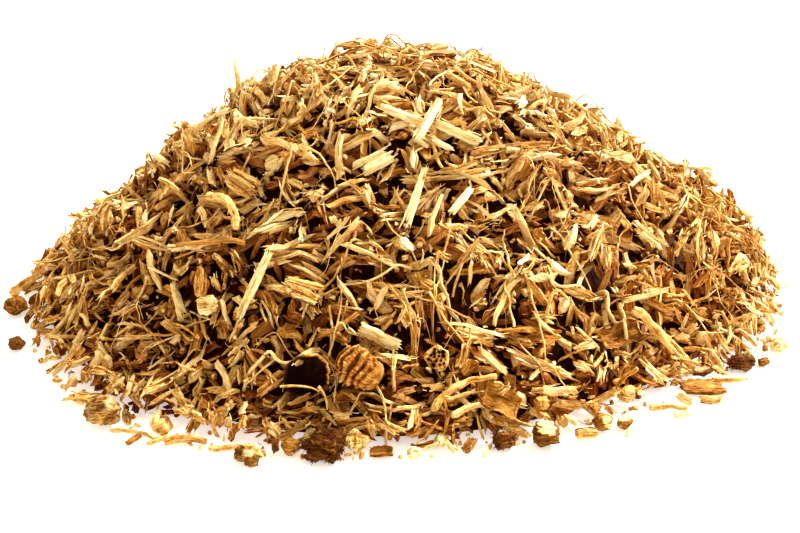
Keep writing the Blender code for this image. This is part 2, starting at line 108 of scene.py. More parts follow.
@dataclass(frozen=True)
class Mound:
    """The surface that the heap follows, from the same named sizes as its solid core."""

    peak_height: float = 58.0 * MM
    foot_radius: float = 96.0 * MM
    peak_roundness: float = 0.41
    slope_power: float = 2.15
    foot_swells: tuple = ((1, 0.009, 0.050), (2, 0.033, 0.018), (3, 0.014, 0.016), (4, 0.008, 0.007))

    def foot(self, bearing: np.ndarray) -> np.ndarray:
        """The foot's radius in the direction of a bearing: a circle with a few slow swells."""
        swell = sum(c * np.cos(k * bearing) + s * np.sin(k * bearing) for k, c, s in self.foot_swells)
        return self.foot_radius * (1 + swell)

    def height(self, x: np.ndarray, y: np.ndarray) -> np.ndarray:
        """The surface's height: a cone with a rounded peak, by a power of the share of the way to the foot.

        Args:
            x: Places in plan.
            y: The same.

        Returns:
            The height at each place.
        """
        share = np.hypot(x, y) / self.foot(np.arctan2(y, x))
        top = math.sqrt(1 + self.peak_roundness**2)
        fall = top - np.sqrt(share**self.slope_power + self.peak_roundness**2)
        return self.peak_height * fall / (top - self.peak_roundness)


@dataclass
class Poses:
    """Where shreds lie: centres, three directions each and sizes, as arrays with a row for each shred."""

    centre: np.ndarray
    along: np.ndarray
    side: np.ndarray
    up: np.ndarray
    size: np.ndarray

    def __len__(self) -> int:
        """The number of shreds."""
        return len(self.centre)

    def strips(self, count: int, rng: Draws, parting: float, lag: float) -> "Poses":
        """Splits each shred lengthwise into strips that lie side by side, of uneven length and height.

        Args:
            count: Strips to a shred.
            rng: The seeded draws.
            parting: The most that a strip turns away from its neighbour, in radians.
            lag: The most that a strip is shorter than the shred, as a share.

        Returns:
            The poses of all the strips.
        """
        n = len(self)
        lane = (np.arange(count) - 0.5 * (count - 1)) / count * (count - 1.5) / (count - 1)
        short = spread(rng, (0, lag), (n, count))
        shift = spread(rng, (-0.5, 0.5), (n, count)) * short * self.size[:, :1]
        over = spread(rng, (-0.32, 0.32), (n, count)) * self.size[:, 2:]
        across = (lane + spread(rng, (-0.04, 0.04), (n, count))) * self.size[:, 1:2]
        turn = spread(rng, (-1, 1), (n, count, 1)) * parting + lane[None, :, None] * parting
        roll = spread(rng, (-0.55, 0.55), (n, count, 1))
        along, side, up = (np.repeat(a[:, None], count, 1) for a in (self.along, self.side, self.up))
        centre = self.centre[:, None] + along * shift[..., None] + side * across[..., None]
        centre = centre + up * over[..., None]
        along, side = along * np.cos(turn) + side * np.sin(turn), side * np.cos(turn) - along * np.sin(turn)
        side, up = side * np.cos(roll) + up * np.sin(roll), up * np.cos(roll) - side * np.sin(roll)
        wide = spread(rng, (0.95, 1.6), (n, count)) / count
        thick = spread(rng, (0.6, 1.0), (n, count))
        size = np.repeat(self.size[:, None], count, 1) * np.stack([1 - short, wide, thick], -1)
        return Poses(*(a.reshape(-1, 3) for a in (centre, along, side, up, size)))


@dataclass
class Loft:
    """Closed tubes of one layout: pieces x rings x sides of points, and a pole at each end of each piece.

    Tint holds tone, bark, hue and depth for each point; the depth sets painted shade. Run is the distance
    along each ring's middle and girth the distance round a piece, both in millimetres, and the grain follows
    them.
    """

    points: np.ndarray
    poles: np.ndarray
    tint: np.ndarray
    pole_tint: np.ndarray
    run: np.ndarray
    girth: np.ndarray


@dataclass(frozen=True)
class Tint:
    """How a make of shred is coloured: the limits of its tone, and how much of it is bark."""

    tone: Span = (0.4, 0.8)
    barked: float = 0.35
    bark: Span = (0.5, 1.0)
    hue: Span = (0.0, 1.0)
    wrap: float = 0.0
    end_tone: float = 0.1

    def paint(self, turn: np.ndarray, deep: np.ndarray, rng: Draws) -> np.ndarray:
        """Tone, bark, hue and depth at each point: one tone a piece, and bark where it faces one way; the
        depth sets painted shade.

        Args:
            turn: The angle of each point about its piece, as pieces x rings x sides.
            deep: How deep each piece lies, from 0 to 1.
            rng: The seeded draws.

        Returns:
            Four values for each point.
        """
        n, rings, sides = turn.shape
        tone = spread(rng, self.tone, (n, 1, 1)) + spread(rng, (-0.05, 0.05), (n, 1, sides))
        tone = tone + spread(rng, (-0.03, 0.03), (n, rings, sides))
        facing = np.cos(turn - spread(rng, (0, FULL_TURN), (n, 1, 1)))
        has_bark = (rng.uniform(size=(n, 1, 1)) < self.barked) * spread(rng, self.bark, (n, 1, 1))
        facing = facing + self.wrap + spread(rng, (-0.5, 0.7), (n, 1, 1))
        bark = has_bark * np.clip(0.5 + 1.6 * facing, 0, 1)
        hue = spread(rng, self.hue, (n, 1, 1))
        full = np.ones((n, rings, sides))
        return np.stack([tone * full, bark * full, hue * full, deep[:, None, None] * full], -1)


class Ends(Enum):
    """How a shred ends: split and uneven, or closed by a dome."""

    SPLIT = "split"
    DOME = "dome"


@dataclass(frozen=True)
class Cut:
    """How shreds are shaped. Shares are of the width, the thickness or the length."""

    ends: Ends = Ends.SPLIT
    squareness: float = 0.62
    ridges: float = 0.24
    roughness: float = 0.09
    taper: Span = (0.1, 0.8)
    thinning: Span = (0.0, 0.6)
    jag: Span = (0.0, 0.16)
    bend: float = 0.05
    twist: float = 0.5
    curl: Span = (0.0, 0.0)
    wave: float = 0.0
    uneven: float = 0.0

    def loft(self, poses: Poses, rings: int, sides: int, tint: Tint, deep: np.ndarray,
             rng: Draws) -> Loft:
        """Lofts a shred in each pose.

        A section is a circle whose sine and cosine are raised to the squareness, stretched to the width and
        the thickness, with a ridge for each side. A split shred narrows by the fifth power of the way to each
        end, and each side ends at its own place. A dome narrows by the sine of the way. The middle bends by a
        parabola and a sine, the width changes from ring to ring, and a curled shred's edges rise by the
        square of their distance from the middle.

        Args:
            poses: Where the shreds lie.
            rings: Rings of points along each shred.
            sides: Points in a ring.
            tint: The colouring.
            deep: How deep each shred lies, from 0 to 1.
            rng: The seeded draws.

        Returns:
            The lofted shreds.
        """
        n = len(poses)
        length, width, thickness = (poses.size[:, k, None, None] for k in range(3))
        turn = FULL_TURN * (np.arange(sides) + spread(rng, (-0.3, 0.3), (n, 1, sides))) / sides
        if self.ends is Ends.SPLIT:
            way = (0.5 - 0.5 * np.cos(np.linspace(0, math.pi, rings)))[None, :, None]
            starts = spread(rng, self.taper, (n, 1, 1)) * (1 - way) ** 5
            stops = spread(rng, self.taper, (n, 1, 1)) * way**5
            uneven = spread(rng, (-self.uneven, self.uneven), (n, rings, 1))
            wide = np.maximum(1 - starts - stops, 0.08) * (1 + uneven)
            thick = 1 - spread(rng, self.thinning, (n, 1, 1)) * (1 - way) ** 4
            thick = thick - spread(rng, self.thinning, (n, 1, 1)) * way**4
            first = spread(rng, self.jag, (n, 1, sides)) * (1 - way) ** 3
            last = spread(rng, self.jag, (n, 1, sides)) * way**3
            run = (way - 0.5 + first - last) * length
        else:
            polar = (math.pi * (np.arange(rings) + 1) / (rings + 1))[None, :, None]
            way = 0.5 - 0.5 * np.cos(polar)
            wide = thick = np.sin(polar) ** 0.62
            run = (way - 0.5) * length * (1 + spread(rng, (-0.06, 0.06), (n, rings, sides)))
        rough = 1 + spread(rng, (-self.ridges, self.ridges), (n, 1, sides))
        rough = rough * (1 + spread(rng, (-self.roughness, self.roughness), (n, rings, sides)))
        turned = turn + spread(rng, (-self.twist, self.twist), (n, 1, 1)) * (way - 0.5)
        cosine, sine = np.cos(turned), np.sin(turned)
        across = np.sign(cosine) * np.abs(cosine) ** self.squareness * wide * rough
        over = np.sign(sine) * np.abs(sine) ** self.squareness * thick * rough
        arc = 1 - (2 * way - 1) ** 2 - 2 / 3
        sway = np.sin(FULL_TURN * (spread(rng, (0.8, 2.0), (n, 1, 1)) * way + rng.uniform(size=(n, 1, 1))))
        to_side = 0.5 * width * across + spread(rng, (-self.bend, self.bend), (n, 1, 1)) * length * arc
        to_side = to_side + self.wave * width * sway
        to_top = 0.5 * thickness * over + spread(rng, (-self.bend, self.bend), (n, 1, 1)) * length * arc
        to_top = to_top + self.wave * thickness * np.roll(sway, 1, 0)
        to_top = to_top + spread(rng, self.curl, (n, 1, 1)) * width * (across**2 - 0.3)
        points = poses.centre[:, None, None] + run[..., None] * poses.along[:, None, None]
        points = points + to_side[..., None] * poses.side[:, None, None]
        points = points + to_top[..., None] * poses.up[:, None, None]
        tints = tint.paint(turn + 0 * way, deep, rng)
        return closed(points, tints, tint.end_tone, poses, run.mean(2) / MM,
                      0.5 * math.pi * (width + thickness)[:, 0, 0] / MM, 0.06)


def closed(points: np.ndarray, tints: np.ndarray, end_tone: float, poses: Poses, run: np.ndarray,
           girth: np.ndarray, hollow: float) -> Loft:
    """Adds the poles: the mean of each end ring, drawn in by a share of the width.

    Args:
        points: Pieces x rings x sides of places.
        tints: Four values for each of them.
        end_tone: How much paler the ends are.
        poses: The poses, for the direction and the width.
        run: The distance along each ring, in millimetres.
        girth: The distance round each piece, in millimetres.
        hollow: The share of the width by which a pole is drawn in.

    Returns:
        The closed loft.
    """
    inset = poses.along * poses.size[:, 1:2] * hollow
    poles = np.stack([points[:, 0].mean(1) + inset, points[:, -1].mean(1) - inset], 1)
    pole_tint = np.stack([tints[:, 0].mean(1), tints[:, -1].mean(1)], 1)
    pole_tint[..., 0] += end_tone
    pole_tint[..., 1] = 0
    return Loft(points, poles, tints, pole_tint, run, girth)


def tubes(path: np.ndarray, radius: np.ndarray, lean: np.ndarray, sides: int, knobs: float, tint: Tint,
          deep: np.ndarray, rng: Draws) -> Loft:
    """Round roots along paths: a circle across the path's direction at each of its points, with small knobs.

    Args:
        path: Pieces x rings of places.
        radius: The radius at each of them.
        lean: For each piece, a direction that its path never follows.
        sides: Points in a ring.
        knobs: How far the radius varies, as a share.
        tint: The colouring.
        deep: How deep each piece lies, from 0 to 1.
        rng: The seeded draws.

    Returns:
        The lofted roots.
    """
    n, rings = path.shape[:2]
    along = unit(np.gradient(path, axis=1))
    side = unit(np.cross(lean[:, None], along))
    up = np.cross(along, side)
    turn = FULL_TURN * np.arange(sides) / sides + np.zeros((n, rings, 1))
    grow = 1 + spread(rng, (-knobs, knobs), (n, rings, 1)) + spread(rng, (-0.6, 0.6), (n, 1, sides)) * knobs
    reach = radius[..., None] * grow
    points = path[:, :, None] + (reach * np.cos(turn))[..., None] * side[:, :, None]
    points = points + (reach * np.sin(turn))[..., None] * up[:, :, None]
    tints = tint.paint(turn, deep, rng)
    poles = path[:, [0, -1]]
    pole_tint = np.stack([tints[:, 0].mean(1), tints[:, -1].mean(1)], 1)
    pole_tint[..., 0] += tint.end_tone
    pole_tint[..., 1] = 0
    steps = np.linalg.norm(np.diff(path, axis=1), axis=2)
    run = np.concatenate([np.zeros((n, 1)), np.cumsum(steps, 1)], 1) / MM
    return Loft(points, poles, tints, pole_tint, run, FULL_TURN * radius.mean(1) / MM)


class Pile:
    """The pile's height over a grid of the plane. Each shred is laid on it, and then raises it.

    Spills change how far the foot reaches: a bearing and a spread in degrees, and a share. Clumps are noise
    of a wavelength and a height, and bells a place in plan, a reach and a height, all in millimetres.
    """

    half = 112 * MM
    cell = 0.5 * MM
    bed_depth = 4.4 * MM
    # The depth at which the painted shade is full.
    full_shade_depth = 3.5 * MM
    clearance = 0.15 * MM
    margin = 0.6 * MM
    headroom = 0.4 * MM
    rim = 3.0 * MM
    rim_edge = 1.005
    rim_fade = 0.035
    smoothings = 60
    clearings = 10
    shallow = 9.0 * MM
    settle = 0.6
    sink = 0.3
    steepest = 0.12
    cover = (0.47, 0.46, 0.42)
    spills = ((240, 26, 0.05), (187, 20, -0.07), (2, 17, -0.05), (328, 18, 0.035))
    clumps = ((19.0, 1.1), (8.5, 0.9))
    bells = ((-78, 14, 13, -4.0), (-67, 14, 6, -2.0), (-57, 14, 8, 1.2), (-38, 12, 12, 1.5),
             (5, 13, 14, -1.5), (38, 14, 11, -2.4), (48, 17, 7, -2.6), (71, 19, 8, -2.2), (89, 21, 12, 3.8))
    stations = np.linspace(-0.5, 0.5, 11)
    lanes = np.array([-0.5, 0.0, 0.5])

    def __init__(self, mound: Mound) -> None:
        """Starts with the bed, below the mound's surface by the bed's depth, and with nothing over it.

        Args:
            mound: The surface that the heap follows.
        """
        self.mound = mound
        self.axis = np.arange(-self.half, self.half, self.cell)
        x, y = np.meshgrid(self.axis, self.axis, indexing="ij")
        edge = self.rim_edge - np.hypot(x, y) / self.skirt(np.arctan2(y, x))
        self.goal = np.maximum(mound.height(x, y), self.rim * np.clip(edge / self.rim_fade, 0, 1))
        self.top = np.maximum(mound.height(x, y) - self.bed_depth, 0)
        self.ceiling = np.full(self.top.shape, np.inf)
        self.lid = np.zeros(self.top.shape)
        soft = np.maximum(mound.height(x, y), 0)
        for _ in range(self.smoothings):
            around = (np.roll(soft, step, axis) for axis in (0, 1) for step in (1, -1))
            soft = sum(around, soft) / 5
        self.slope_x, self.slope_y = np.gradient(soft, self.cell)
        lowest, highest = np.array(CAD_BOX)
        self.low, self.high = lowest[:2] + self.margin, highest[:2] - self.margin
        self.roof = highest[2] + self.headroom

    def skirt(self, bearing: np.ndarray) -> np.ndarray:
        """How far the loose foot reaches: the mound's foot, with bells of share at bearings in degrees.

        Args:
            bearing: Directions in plan.

        Returns:
            The reach in each direction.
        """
        share = np.ones_like(bearing)
        for middle, reach, height in self.spills:
            turn = np.degrees(np.angle(np.exp(1j * (bearing - math.radians(middle))))) / reach
            share = share + height * np.exp(-(turn**2))
        return self.mound.foot(bearing) * share

    def swell(self, rng: Draws) -> None:
        """Gives the goal its clumps and hollows: bells at a few places and noise of two wavelengths.

        The noise fades to nothing at the foot and round the single pieces, which lie on the plain mound.

        Args:
            rng: The seeded draws.
        """
        x, y = np.meshgrid(self.axis, self.axis, indexing="ij")
        for middle_x, middle_y, reach, height in self.bells:
            gap = np.hypot(x - middle_x * MM, y - middle_y * MM) / (reach * MM)
            self.goal += height * MM * np.exp(-(gap**2)) * (self.goal > 0)
        free = (self.lid == 0).astype(float)
        for _ in range(self.clearings):
            around = (np.roll(free, k, axis) for k in (-1, 1) for axis in (0, 1))
            free = np.minimum(free, (free + sum(around)) / 5)
        place = np.stack([x, y, self.goal], -1)
        noise = sum(height * MM * ripple(place, wave * MM, rng, 12) for wave, height in self.clumps)
        self.goal = np.maximum(self.goal + noise * free * np.clip(self.goal / self.shallow, 0, 1), 0)

    def at(self, x: np.ndarray, y: np.ndarray) -> tuple[np.ndarray, np.ndarray]:
        """The cells that places lie in.

        Args:
            x: Places in plan.
            y: The same.

        Returns:
            The two numbers of each cell.
        """
        last = len(self.axis) - 1
        i = np.clip(((x + self.half) / self.cell).astype(int), 0, last)
        j = np.clip(((y + self.half) / self.cell).astype(int), 0, last)
        return i, j

    def depth(self, centre: np.ndarray) -> np.ndarray:
        """How deep places lie below the pile's top, from 0 at the top to 1 at the full shade depth; the
        finish paints shade by it.
        """
        i, j = self.at(centre[:, 0], centre[:, 1])
        return np.clip((self.top[i, j] - centre[:, 2]) / self.full_shade_depth, 0, 1)

    def keep_clear(self, points: np.ndarray) -> None:
        """Notes the under and upper sides of a single piece, so that no shred is laid through it.

        Args:
            points: Triangles of the piece, as triangles x 3 corners x 3.
        """
        steps = [(a / 9, b / 9) for a in range(10) for b in range(10 - a)]
        share = np.array([(a, b, 1 - a - b) for a, b in steps])
        spots = np.einsum("sk,tkc->tsc", share, points).reshape(-1, 3)
        i, j = self.at(spots[:, 0], spots[:, 1])
        np.minimum.at(self.ceiling, (i, j), spots[:, 2])
        np.maximum.at(self.lid, (i, j), spots[:, 2])

    def rest(self, x: float, y: float, heading: float, size: np.ndarray) -> tuple[np.ndarray, ...] | None:
        """Lays one shred down: it rests on the line that spans its middle over the two highest supports.

        Args:
            x: Its middle.
            y: Its middle.
            heading: Its direction in plan.
            size: Its length, width and thickness.

        Returns:
            Its centre and three directions, or None if it would run through a single piece.
        """
        i, j = self.at(np.array(x), np.array(y))
        normal = unit(np.array([-self.slope_x[i, j], -self.slope_y[i, j], 1.0]))
        flat = np.array([math.cos(heading), math.sin(heading), 0.0])
        along = unit(flat - flat @ normal * normal)
        side = np.cross(normal, along)
        s, t = self.stations * size[0], self.lanes * size[1]
        spots_x = x + s[:, None] * along[0] + t * side[0]
        spots_y = y + s[:, None] * along[1] + t * side[1]
        i, j = self.at(spots_x, spots_y)
        ground = self.top[i, j] - s[:, None] * along[2] - t * side[2]
        ridge = ground.max(1)
        middle = len(s) // 2
        left, right = s[:middle, None], s[None, middle + 1:]
        rise = (ridge[None, middle + 1:] - ridge[:middle, None]) / (right - left)
        level = ridge[:middle, None] - rise * left
        best = np.unravel_index(level.argmax(), level.shape)
        height, tilt = level[best], rise[best]
        if ridge[middle] > height:
            height = ridge[middle]
        gap = (height + tilt * s[:, None] - ground).min(0)
        roll = self.settle * math.atan2(gap[0] - gap[2], size[1])
        tops = height + tilt * s[:, None] + s[:, None] * along[2] + t * side[2] + size[2]
        if (tops > self.ceiling[i, j] + self.clearance).any():
            return None
        along = unit(along + tilt * normal)
        side = unit(side * math.cos(roll) + normal * math.sin(roll))
        up = unit(np.cross(along, side))
        centre = np.array([x, y, height - self.sink * abs(gap[0] - gap[2])]) + up * 0.5 * size[2]
        return centre, along, side, up

    def stamp(self, centre: np.ndarray, along: np.ndarray, side: np.ndarray, size: np.ndarray) -> None:
        """Raises the pile to a shred's upper side over the shred's outline.

        Args:
            centre: Its middle.
            along: The way that it runs.
            side: The way across it.
            size: Its length, width and thickness.
        """
        spin = along[0] * side[1] - along[1] * side[0]
        if abs(spin) < self.steepest:
            return
        reach = 0.5 * math.hypot(size[0], size[1])
        (i, k), (j, m) = self.at(centre[0] + np.array([-reach, reach]), centre[1] + np.array([-reach, reach]))
        dx = self.axis[i:k + 1, None] + 0.5 * self.cell - centre[0]
        dy = self.axis[None, j:m + 1] + 0.5 * self.cell - centre[1]
        s = (dx * side[1] - dy * side[0]) / spin
        t = (along[0] * dy - along[1] * dx) / spin
        long, wide, thick = self.cover
        inside = (np.abs(s) < long * size[0]) & (np.abs(t) < wide * size[1])
        upper = centre[2] + s * along[2] + t * side[2] + thick * size[2]
        window = self.top[i:k + 1, j:m + 1]
        np.copyto(window, np.maximum(window, upper), where=inside)


@dataclass(frozen=True)
class Make:
    """A make of shred: how many are laid, their sizes in millimetres, their shape and their colour."""

    name: str
    count: int
    rings: int
    sides: int
    length: Span
    width: Span
    thickness: Span
    cut: Cut = Cut()
    tint: Tint = Tint()
    strips: int = 1
    parting: float = 0.06
    lag: float = 0.3
    standing: float = 0.12
    rare: float = 1.5
    ring: Span = (0.0, 1.0)
    over: float = 1.2
    slot: str = "shred_mix"

    def sizes(self, rng: Draws) -> np.ndarray:
        """Draws length, width and thickness for each shred, long and wide ones being rare.

        Args:
            rng: The seeded draws.

        Returns:
            Three sizes for each shred, in metres.
        """
        share = rng.uniform(size=(self.count, 3)) ** np.array([self.rare, 1.3, 1.0])
        limits = np.array([self.length, self.width, self.thickness])
        return (limits[:, 0] + (limits[:, 1] - limits[:, 0]) * share) * MM


@dataclass
class Layer:
    """Shreds of one make, laid on the pile one by one where the pile is furthest below the mound."""

    make: Make
    tries: int = 10
    # How much paler the higher shreds are, as painted light.
    paler: float = 0.3
    even_at: float = 0.45
    jitter: float = 0.4 * MM
    planted: float = 0.12
    pitch: Span = (0.3, 0.95)
    poses: Poses = field(init=False)

    def lay(self, pile: Pile, rng: Draws) -> None:
        """Lays the shreds and keeps their poses.

        Args:
            pile: The pile, which rises under each shred.
            rng: The seeded draws.
        """
        make, mound = self.make, pile.mound
        sizes = make.sizes(rng)
        bearing = rng.uniform(0, FULL_TURN, (make.count, self.tries))
        inner, outer = make.ring
        share = np.sqrt(rng.uniform(inner**2, outer**2, bearing.shape))
        radius = share * (pile.skirt(bearing) if inner > 0.5 else mound.foot(bearing))
        x, y = radius * np.cos(bearing), radius * np.sin(bearing)
        heading = rng.uniform(0, FULL_TURN, bearing.shape)
        stand = rng.uniform(size=make.count) < make.standing
        pitch = spread(rng, self.pitch, make.count) * rng.choice([-1, 1], make.count)
        laid = []
        for n in range(make.count):
            size = sizes[n]
            inside = (x[n] > pile.low[0]) & (x[n] < pile.high[0])
            inside = inside & (y[n] > pile.low[1]) & (y[n] < pile.high[1])
            i, j = pile.at(x[n], y[n])
            lack = pile.goal[i, j] - pile.top[i, j] + self.jitter * rng.uniform(size=self.tries)
            for k in np.argsort(-lack):
                if not inside[k]:
                    continue
                pose = pile.rest(x[n, k], y[n, k], heading[n, k], size)
                if pose is None or pose[0][2] > pile.goal[i[k], j[k]] + make.over * MM:
                    continue
                centre, along, side, up = pose
                if stand[n]:
                    along, up = (along * math.cos(pitch[n]) + up * math.sin(pitch[n]),
                                 up * math.cos(pitch[n]) - along * math.sin(pitch[n]))
                    centre = centre + up * self.planted * size[0]
                    centre[2] = max(centre[2], 0.5 * size[0] * abs(along[2]) + 0.5 * size[2])
                if centre[2] + 0.5 * size @ np.abs([along[2], side[2], up[2]]) > pile.roof:
                    continue
                pile.stamp(centre, along, side, size)
                laid.append((centre, along, side, up, size))
                break
        self.poses = Poses(*(np.array(a) for a in zip(*laid)))

    def loft(self, pile: Pile, rng: Draws) -> Loft:
        """Lofts the laid shreds, split into strips where the make has them, with painted light: the higher,
        the paler.

        Args:
            pile: The finished pile.
            rng: The seeded draws.

        Returns:
            The lofted shreds.
        """
        make, poses = self.make, self.poses
        deep = pile.depth(poses.centre)
        if make.strips > 1:
            poses = poses.strips(make.strips, rng, make.parting, make.lag)
            deep = np.repeat(deep, make.strips)
        loft = make.cut.loft(poses, make.rings, make.sides, make.tint, deep, rng)
        # Painted light: the tone rises with height, so shreds high on the heap are paler, as if the light
        # reached them more.
        loft.tint[..., 0] += self.paler * (loft.points[..., 2] / pile.mound.peak_height - self.even_at)
        return loft


@dataclass(frozen=True)
class Finish:
    """The finish of dried root: pale split wood with dark grain, brown bark, and painted shade by the depth
    value.
    """

    name: str
    grain: float = 0.45
    bump: float = 0.75
    relief: float = 0.36 * MM
    matt: float = 0.72
    specular: float = 0.22

    streaks = (0.22, 2.6, 1.0)
    fibres = (0.9, 9.0, 1.0)
    per_millimetre = (1000.0, 1000.0, 1000.0)
    plain = (1.0, 1.0, 1.0, 1.0)
    warm = (1.0, 0.88, 0.72, 1.0)
    # The dark brown of the painted shade.
    shade = (0.48, 0.235, 0.085, 1.0)
    wood = ((0.0, (0.12, 0.026, 0.002)), (0.2, (0.35, 0.125, 0.012)), (0.42, (0.64, 0.345, 0.066)),
            (0.68, (0.86, 0.66, 0.31)), (1.0, (0.95, 0.86, 0.57)))
    bark = ((0.0, (0.036, 0.008, 0.002)), (0.4, (0.20, 0.078, 0.013)), (0.75, (0.48, 0.25, 0.056)),
            (1.0, (0.68, 0.43, 0.135)))

    def make(self) -> bpy.types.Material:
        """Builds the material.

        The tone of a shred is shifted by streaks, which are noise drawn out along the grain, and looked up on
        a ramp of wood colours. Bark is a second ramp, mixed in where the bark value and its own noise say so.

        Returns:
            The material.
        """
        material = bpy.data.materials.new(self.name)
        material.use_nodes = True
        maker = NodeMaker(material.node_tree)
        tint = maker.node("ShaderNodeAttribute", {"attribute_name": "Tint"})
        parts = maker.node("ShaderNodeSeparateColor", {}, Color=tint.outputs["Color"])
        tone, bark, hue = (Flow(maker, parts.outputs[k]) for k in range(3))
        deep = Flow(maker, tint.outputs["Alpha"])
        grain = maker.node("ShaderNodeUVMap", {"uv_map": "Grain"}).outputs["UV"]
        place = maker.node("ShaderNodeTexCoord", {}).outputs["Object"]
        streak = maker.noise(maker.scaled(grain, self.streaks), 1.0, 3)
        fibre = maker.noise(maker.scaled(grain, self.fibres), 1.0, 2)
        patch = maker.noise(maker.scaled(place, self.per_millimetre), 0.45, 3)
        grit = maker.noise(maker.scaled(place, self.per_millimetre), 2.1, 2)
        lift = (streak - 0.5) * (3.4 * self.grain) + (fibre - 0.5) * (2.6 * self.grain) + (patch - 0.5) * 0.5
        lift = lift + (grit - 0.5) * 0.45
        wood = maker.ramp(tone + lift, self.wood)
        rind = hue * 0.6 + (patch - 0.5) * 0.7 + (streak - 0.5) * 1.3 + (fibre - 0.5) * 0.7 + 0.27
        rind = maker.ramp(rind, self.bark)
        cover = maker.math("SMOOTH_MIN", ((bark + (patch - 0.5) * 0.9) - 0.32) * 3.5, 1.0, 0.1, clamp=True)
        colour = maker.mix("MIX", cover, wood, rind)
        warmth = maker.mix("MIX", (hue - 0.5) * 0.5 + 0.25, self.plain, self.warm)
        colour = maker.mix("MULTIPLY", 1.0, colour, warmth)
        # Painted shade: the depth value mixes the colour towards its product with a dark brown, for shreds
        # deep in the pile and for the bed, grooves, pores and hollows.
        shaded = maker.mix("MULTIPLY", 1.0, colour, self.shade)
        colour = maker.mix("MIX", deep * 0.8, colour, shaded)
        relief = streak * 0.7 + fibre * 0.35 + patch * 0.5 + grit * 0.45
        bump = maker.node("ShaderNodeBump", {}, Strength=self.bump, Distance=self.relief, Height=relief)
        shader = material.node_tree.nodes["Principled BSDF"]
        maker.link(colour, shader.inputs["Base Color"])
        maker.link(self.matt + (0.5 - fibre) * 0.3 + cover * 0.1, shader.inputs["Roughness"])
        maker.link(bump.outputs["Normal"], shader.inputs["Normal"])
        shader.inputs["Specular IOR Level"].default_value = self.specular
        return material


class NodeMaker:
    """Makes shader nodes in one tree."""

    def __init__(self, tree: bpy.types.NodeTree) -> None:
        """Keeps the tree."""
        self.tree = tree

    def link(self, source: object, socket: bpy.types.NodeSocket) -> None:
        """Feeds a socket from a flow, another socket or a plain value.

        Args:
            source: What feeds it.
            socket: The socket.
        """
        if isinstance(source, Flow):
            source = source.socket
        if isinstance(source, bpy.types.NodeSocket):
            self.tree.links.new(source, socket)
        else:
            socket.default_value = source

    def node(self, kind: str, settings: dict, **inputs: object) -> bpy.types.Node:
        """Makes one node.

        Args:
            kind: The node's type.
            settings: Its properties, set before its sockets.
            **inputs: Values or links, by socket name, or by identifier.

        Returns:
            The node.
        """
        node = self.tree.nodes.new(kind)
        for name, value in settings.items():
            setattr(node, name, value)
        for name, value in inputs.items():
            socket = next(s for s in node.inputs if name in (s.identifier, s.name))
            self.link(value, socket)
        return node

    def math(self, operation: str, *values: object, clamp: bool = False) -> "Flow":
        """Makes a Math node on flows and numbers.

        Args:
            operation: What the node does.
            *values: Its inputs, in order.
            clamp: Whether the result stays within 0 and 1.

        Returns:
            The result.
        """
        node = self.node("ShaderNodeMath", {"operation": operation, "use_clamp": clamp})
        for value, socket in zip(values, node.inputs):
            self.link(value, socket)
        return Flow(self, node.outputs[0])

    def scaled(self, vector: bpy.types.NodeSocket, scale: Triple) -> bpy.types.NodeSocket:
        """A vector multiplied by three factors.

        Args:
            vector: The vector.
            scale: The factors.

        Returns:
            The product.
        """
        node = self.node("ShaderNodeVectorMath", {"operation": "MULTIPLY"})
        self.link(vector, node.inputs[0])
        node.inputs[1].default_value = scale
        return node.outputs[0]

    def noise(self, vector: bpy.types.NodeSocket, scale: float, detail: float) -> "Flow":
        """Noise about one half."""
        node = self.node("ShaderNodeTexNoise", {}, Vector=vector, Scale=scale, Detail=detail)
        return Flow(self, node.outputs[0])

    def mix(self, blend: str, factor: object, first: object, second: object) -> bpy.types.NodeSocket:
        """Mixes two colours.

        Args:
            blend: The way of mixing.
            factor: The share of the second.
            first: A colour.
            second: A colour.

        Returns:
            The mixed colour.
        """
        settings = {"data_type": "RGBA", "blend_type": blend, "clamp_factor": True}
        node = self.node("ShaderNodeMix", settings, Factor_Float=factor, A_Color=first, B_Color=second)
        return next(s for s in node.outputs if s.identifier == "Result_Color")

    def ramp(self, value: object, stops: Sequence[tuple[float, tuple]]) -> bpy.types.NodeSocket:
        """A colour looked up between stops.

        Args:
            value: Where to look.
            stops: Places and colours, in order.

        Returns:
            The colour.
        """
        node = self.node("ShaderNodeValToRGB", {}, Fac=value)
        ramp = node.color_ramp
        while len(ramp.elements) < len(stops):
            ramp.elements.new(1.0)
        for element, (place, colour) in zip(ramp.elements, stops):
            element.position = place
            element.color = (*colour, 1)
        return node.outputs["Color"]


@dataclass(frozen=True)
class Flow:
    """A number on its way between shader nodes. Arithmetic on it adds Math nodes."""

    maker: NodeMaker
    socket: bpy.types.NodeSocket

    def __add__(self, other: object) -> "Flow":
        """Sum."""
        return self.maker.math("ADD", self, other)

    __radd__ = __add__

    def __sub__(self, other: object) -> "Flow":
        """Difference."""
        return self.maker.math("SUBTRACT", self, other)

    def __rsub__(self, other: object) -> "Flow":
        """Difference, the other way round."""
        return self.maker.math("SUBTRACT", other, self)

    def __mul__(self, other: object) -> "Flow":
        """Product."""
        return self.maker.math("MULTIPLY", self, other)

    __rmul__ = __mul__


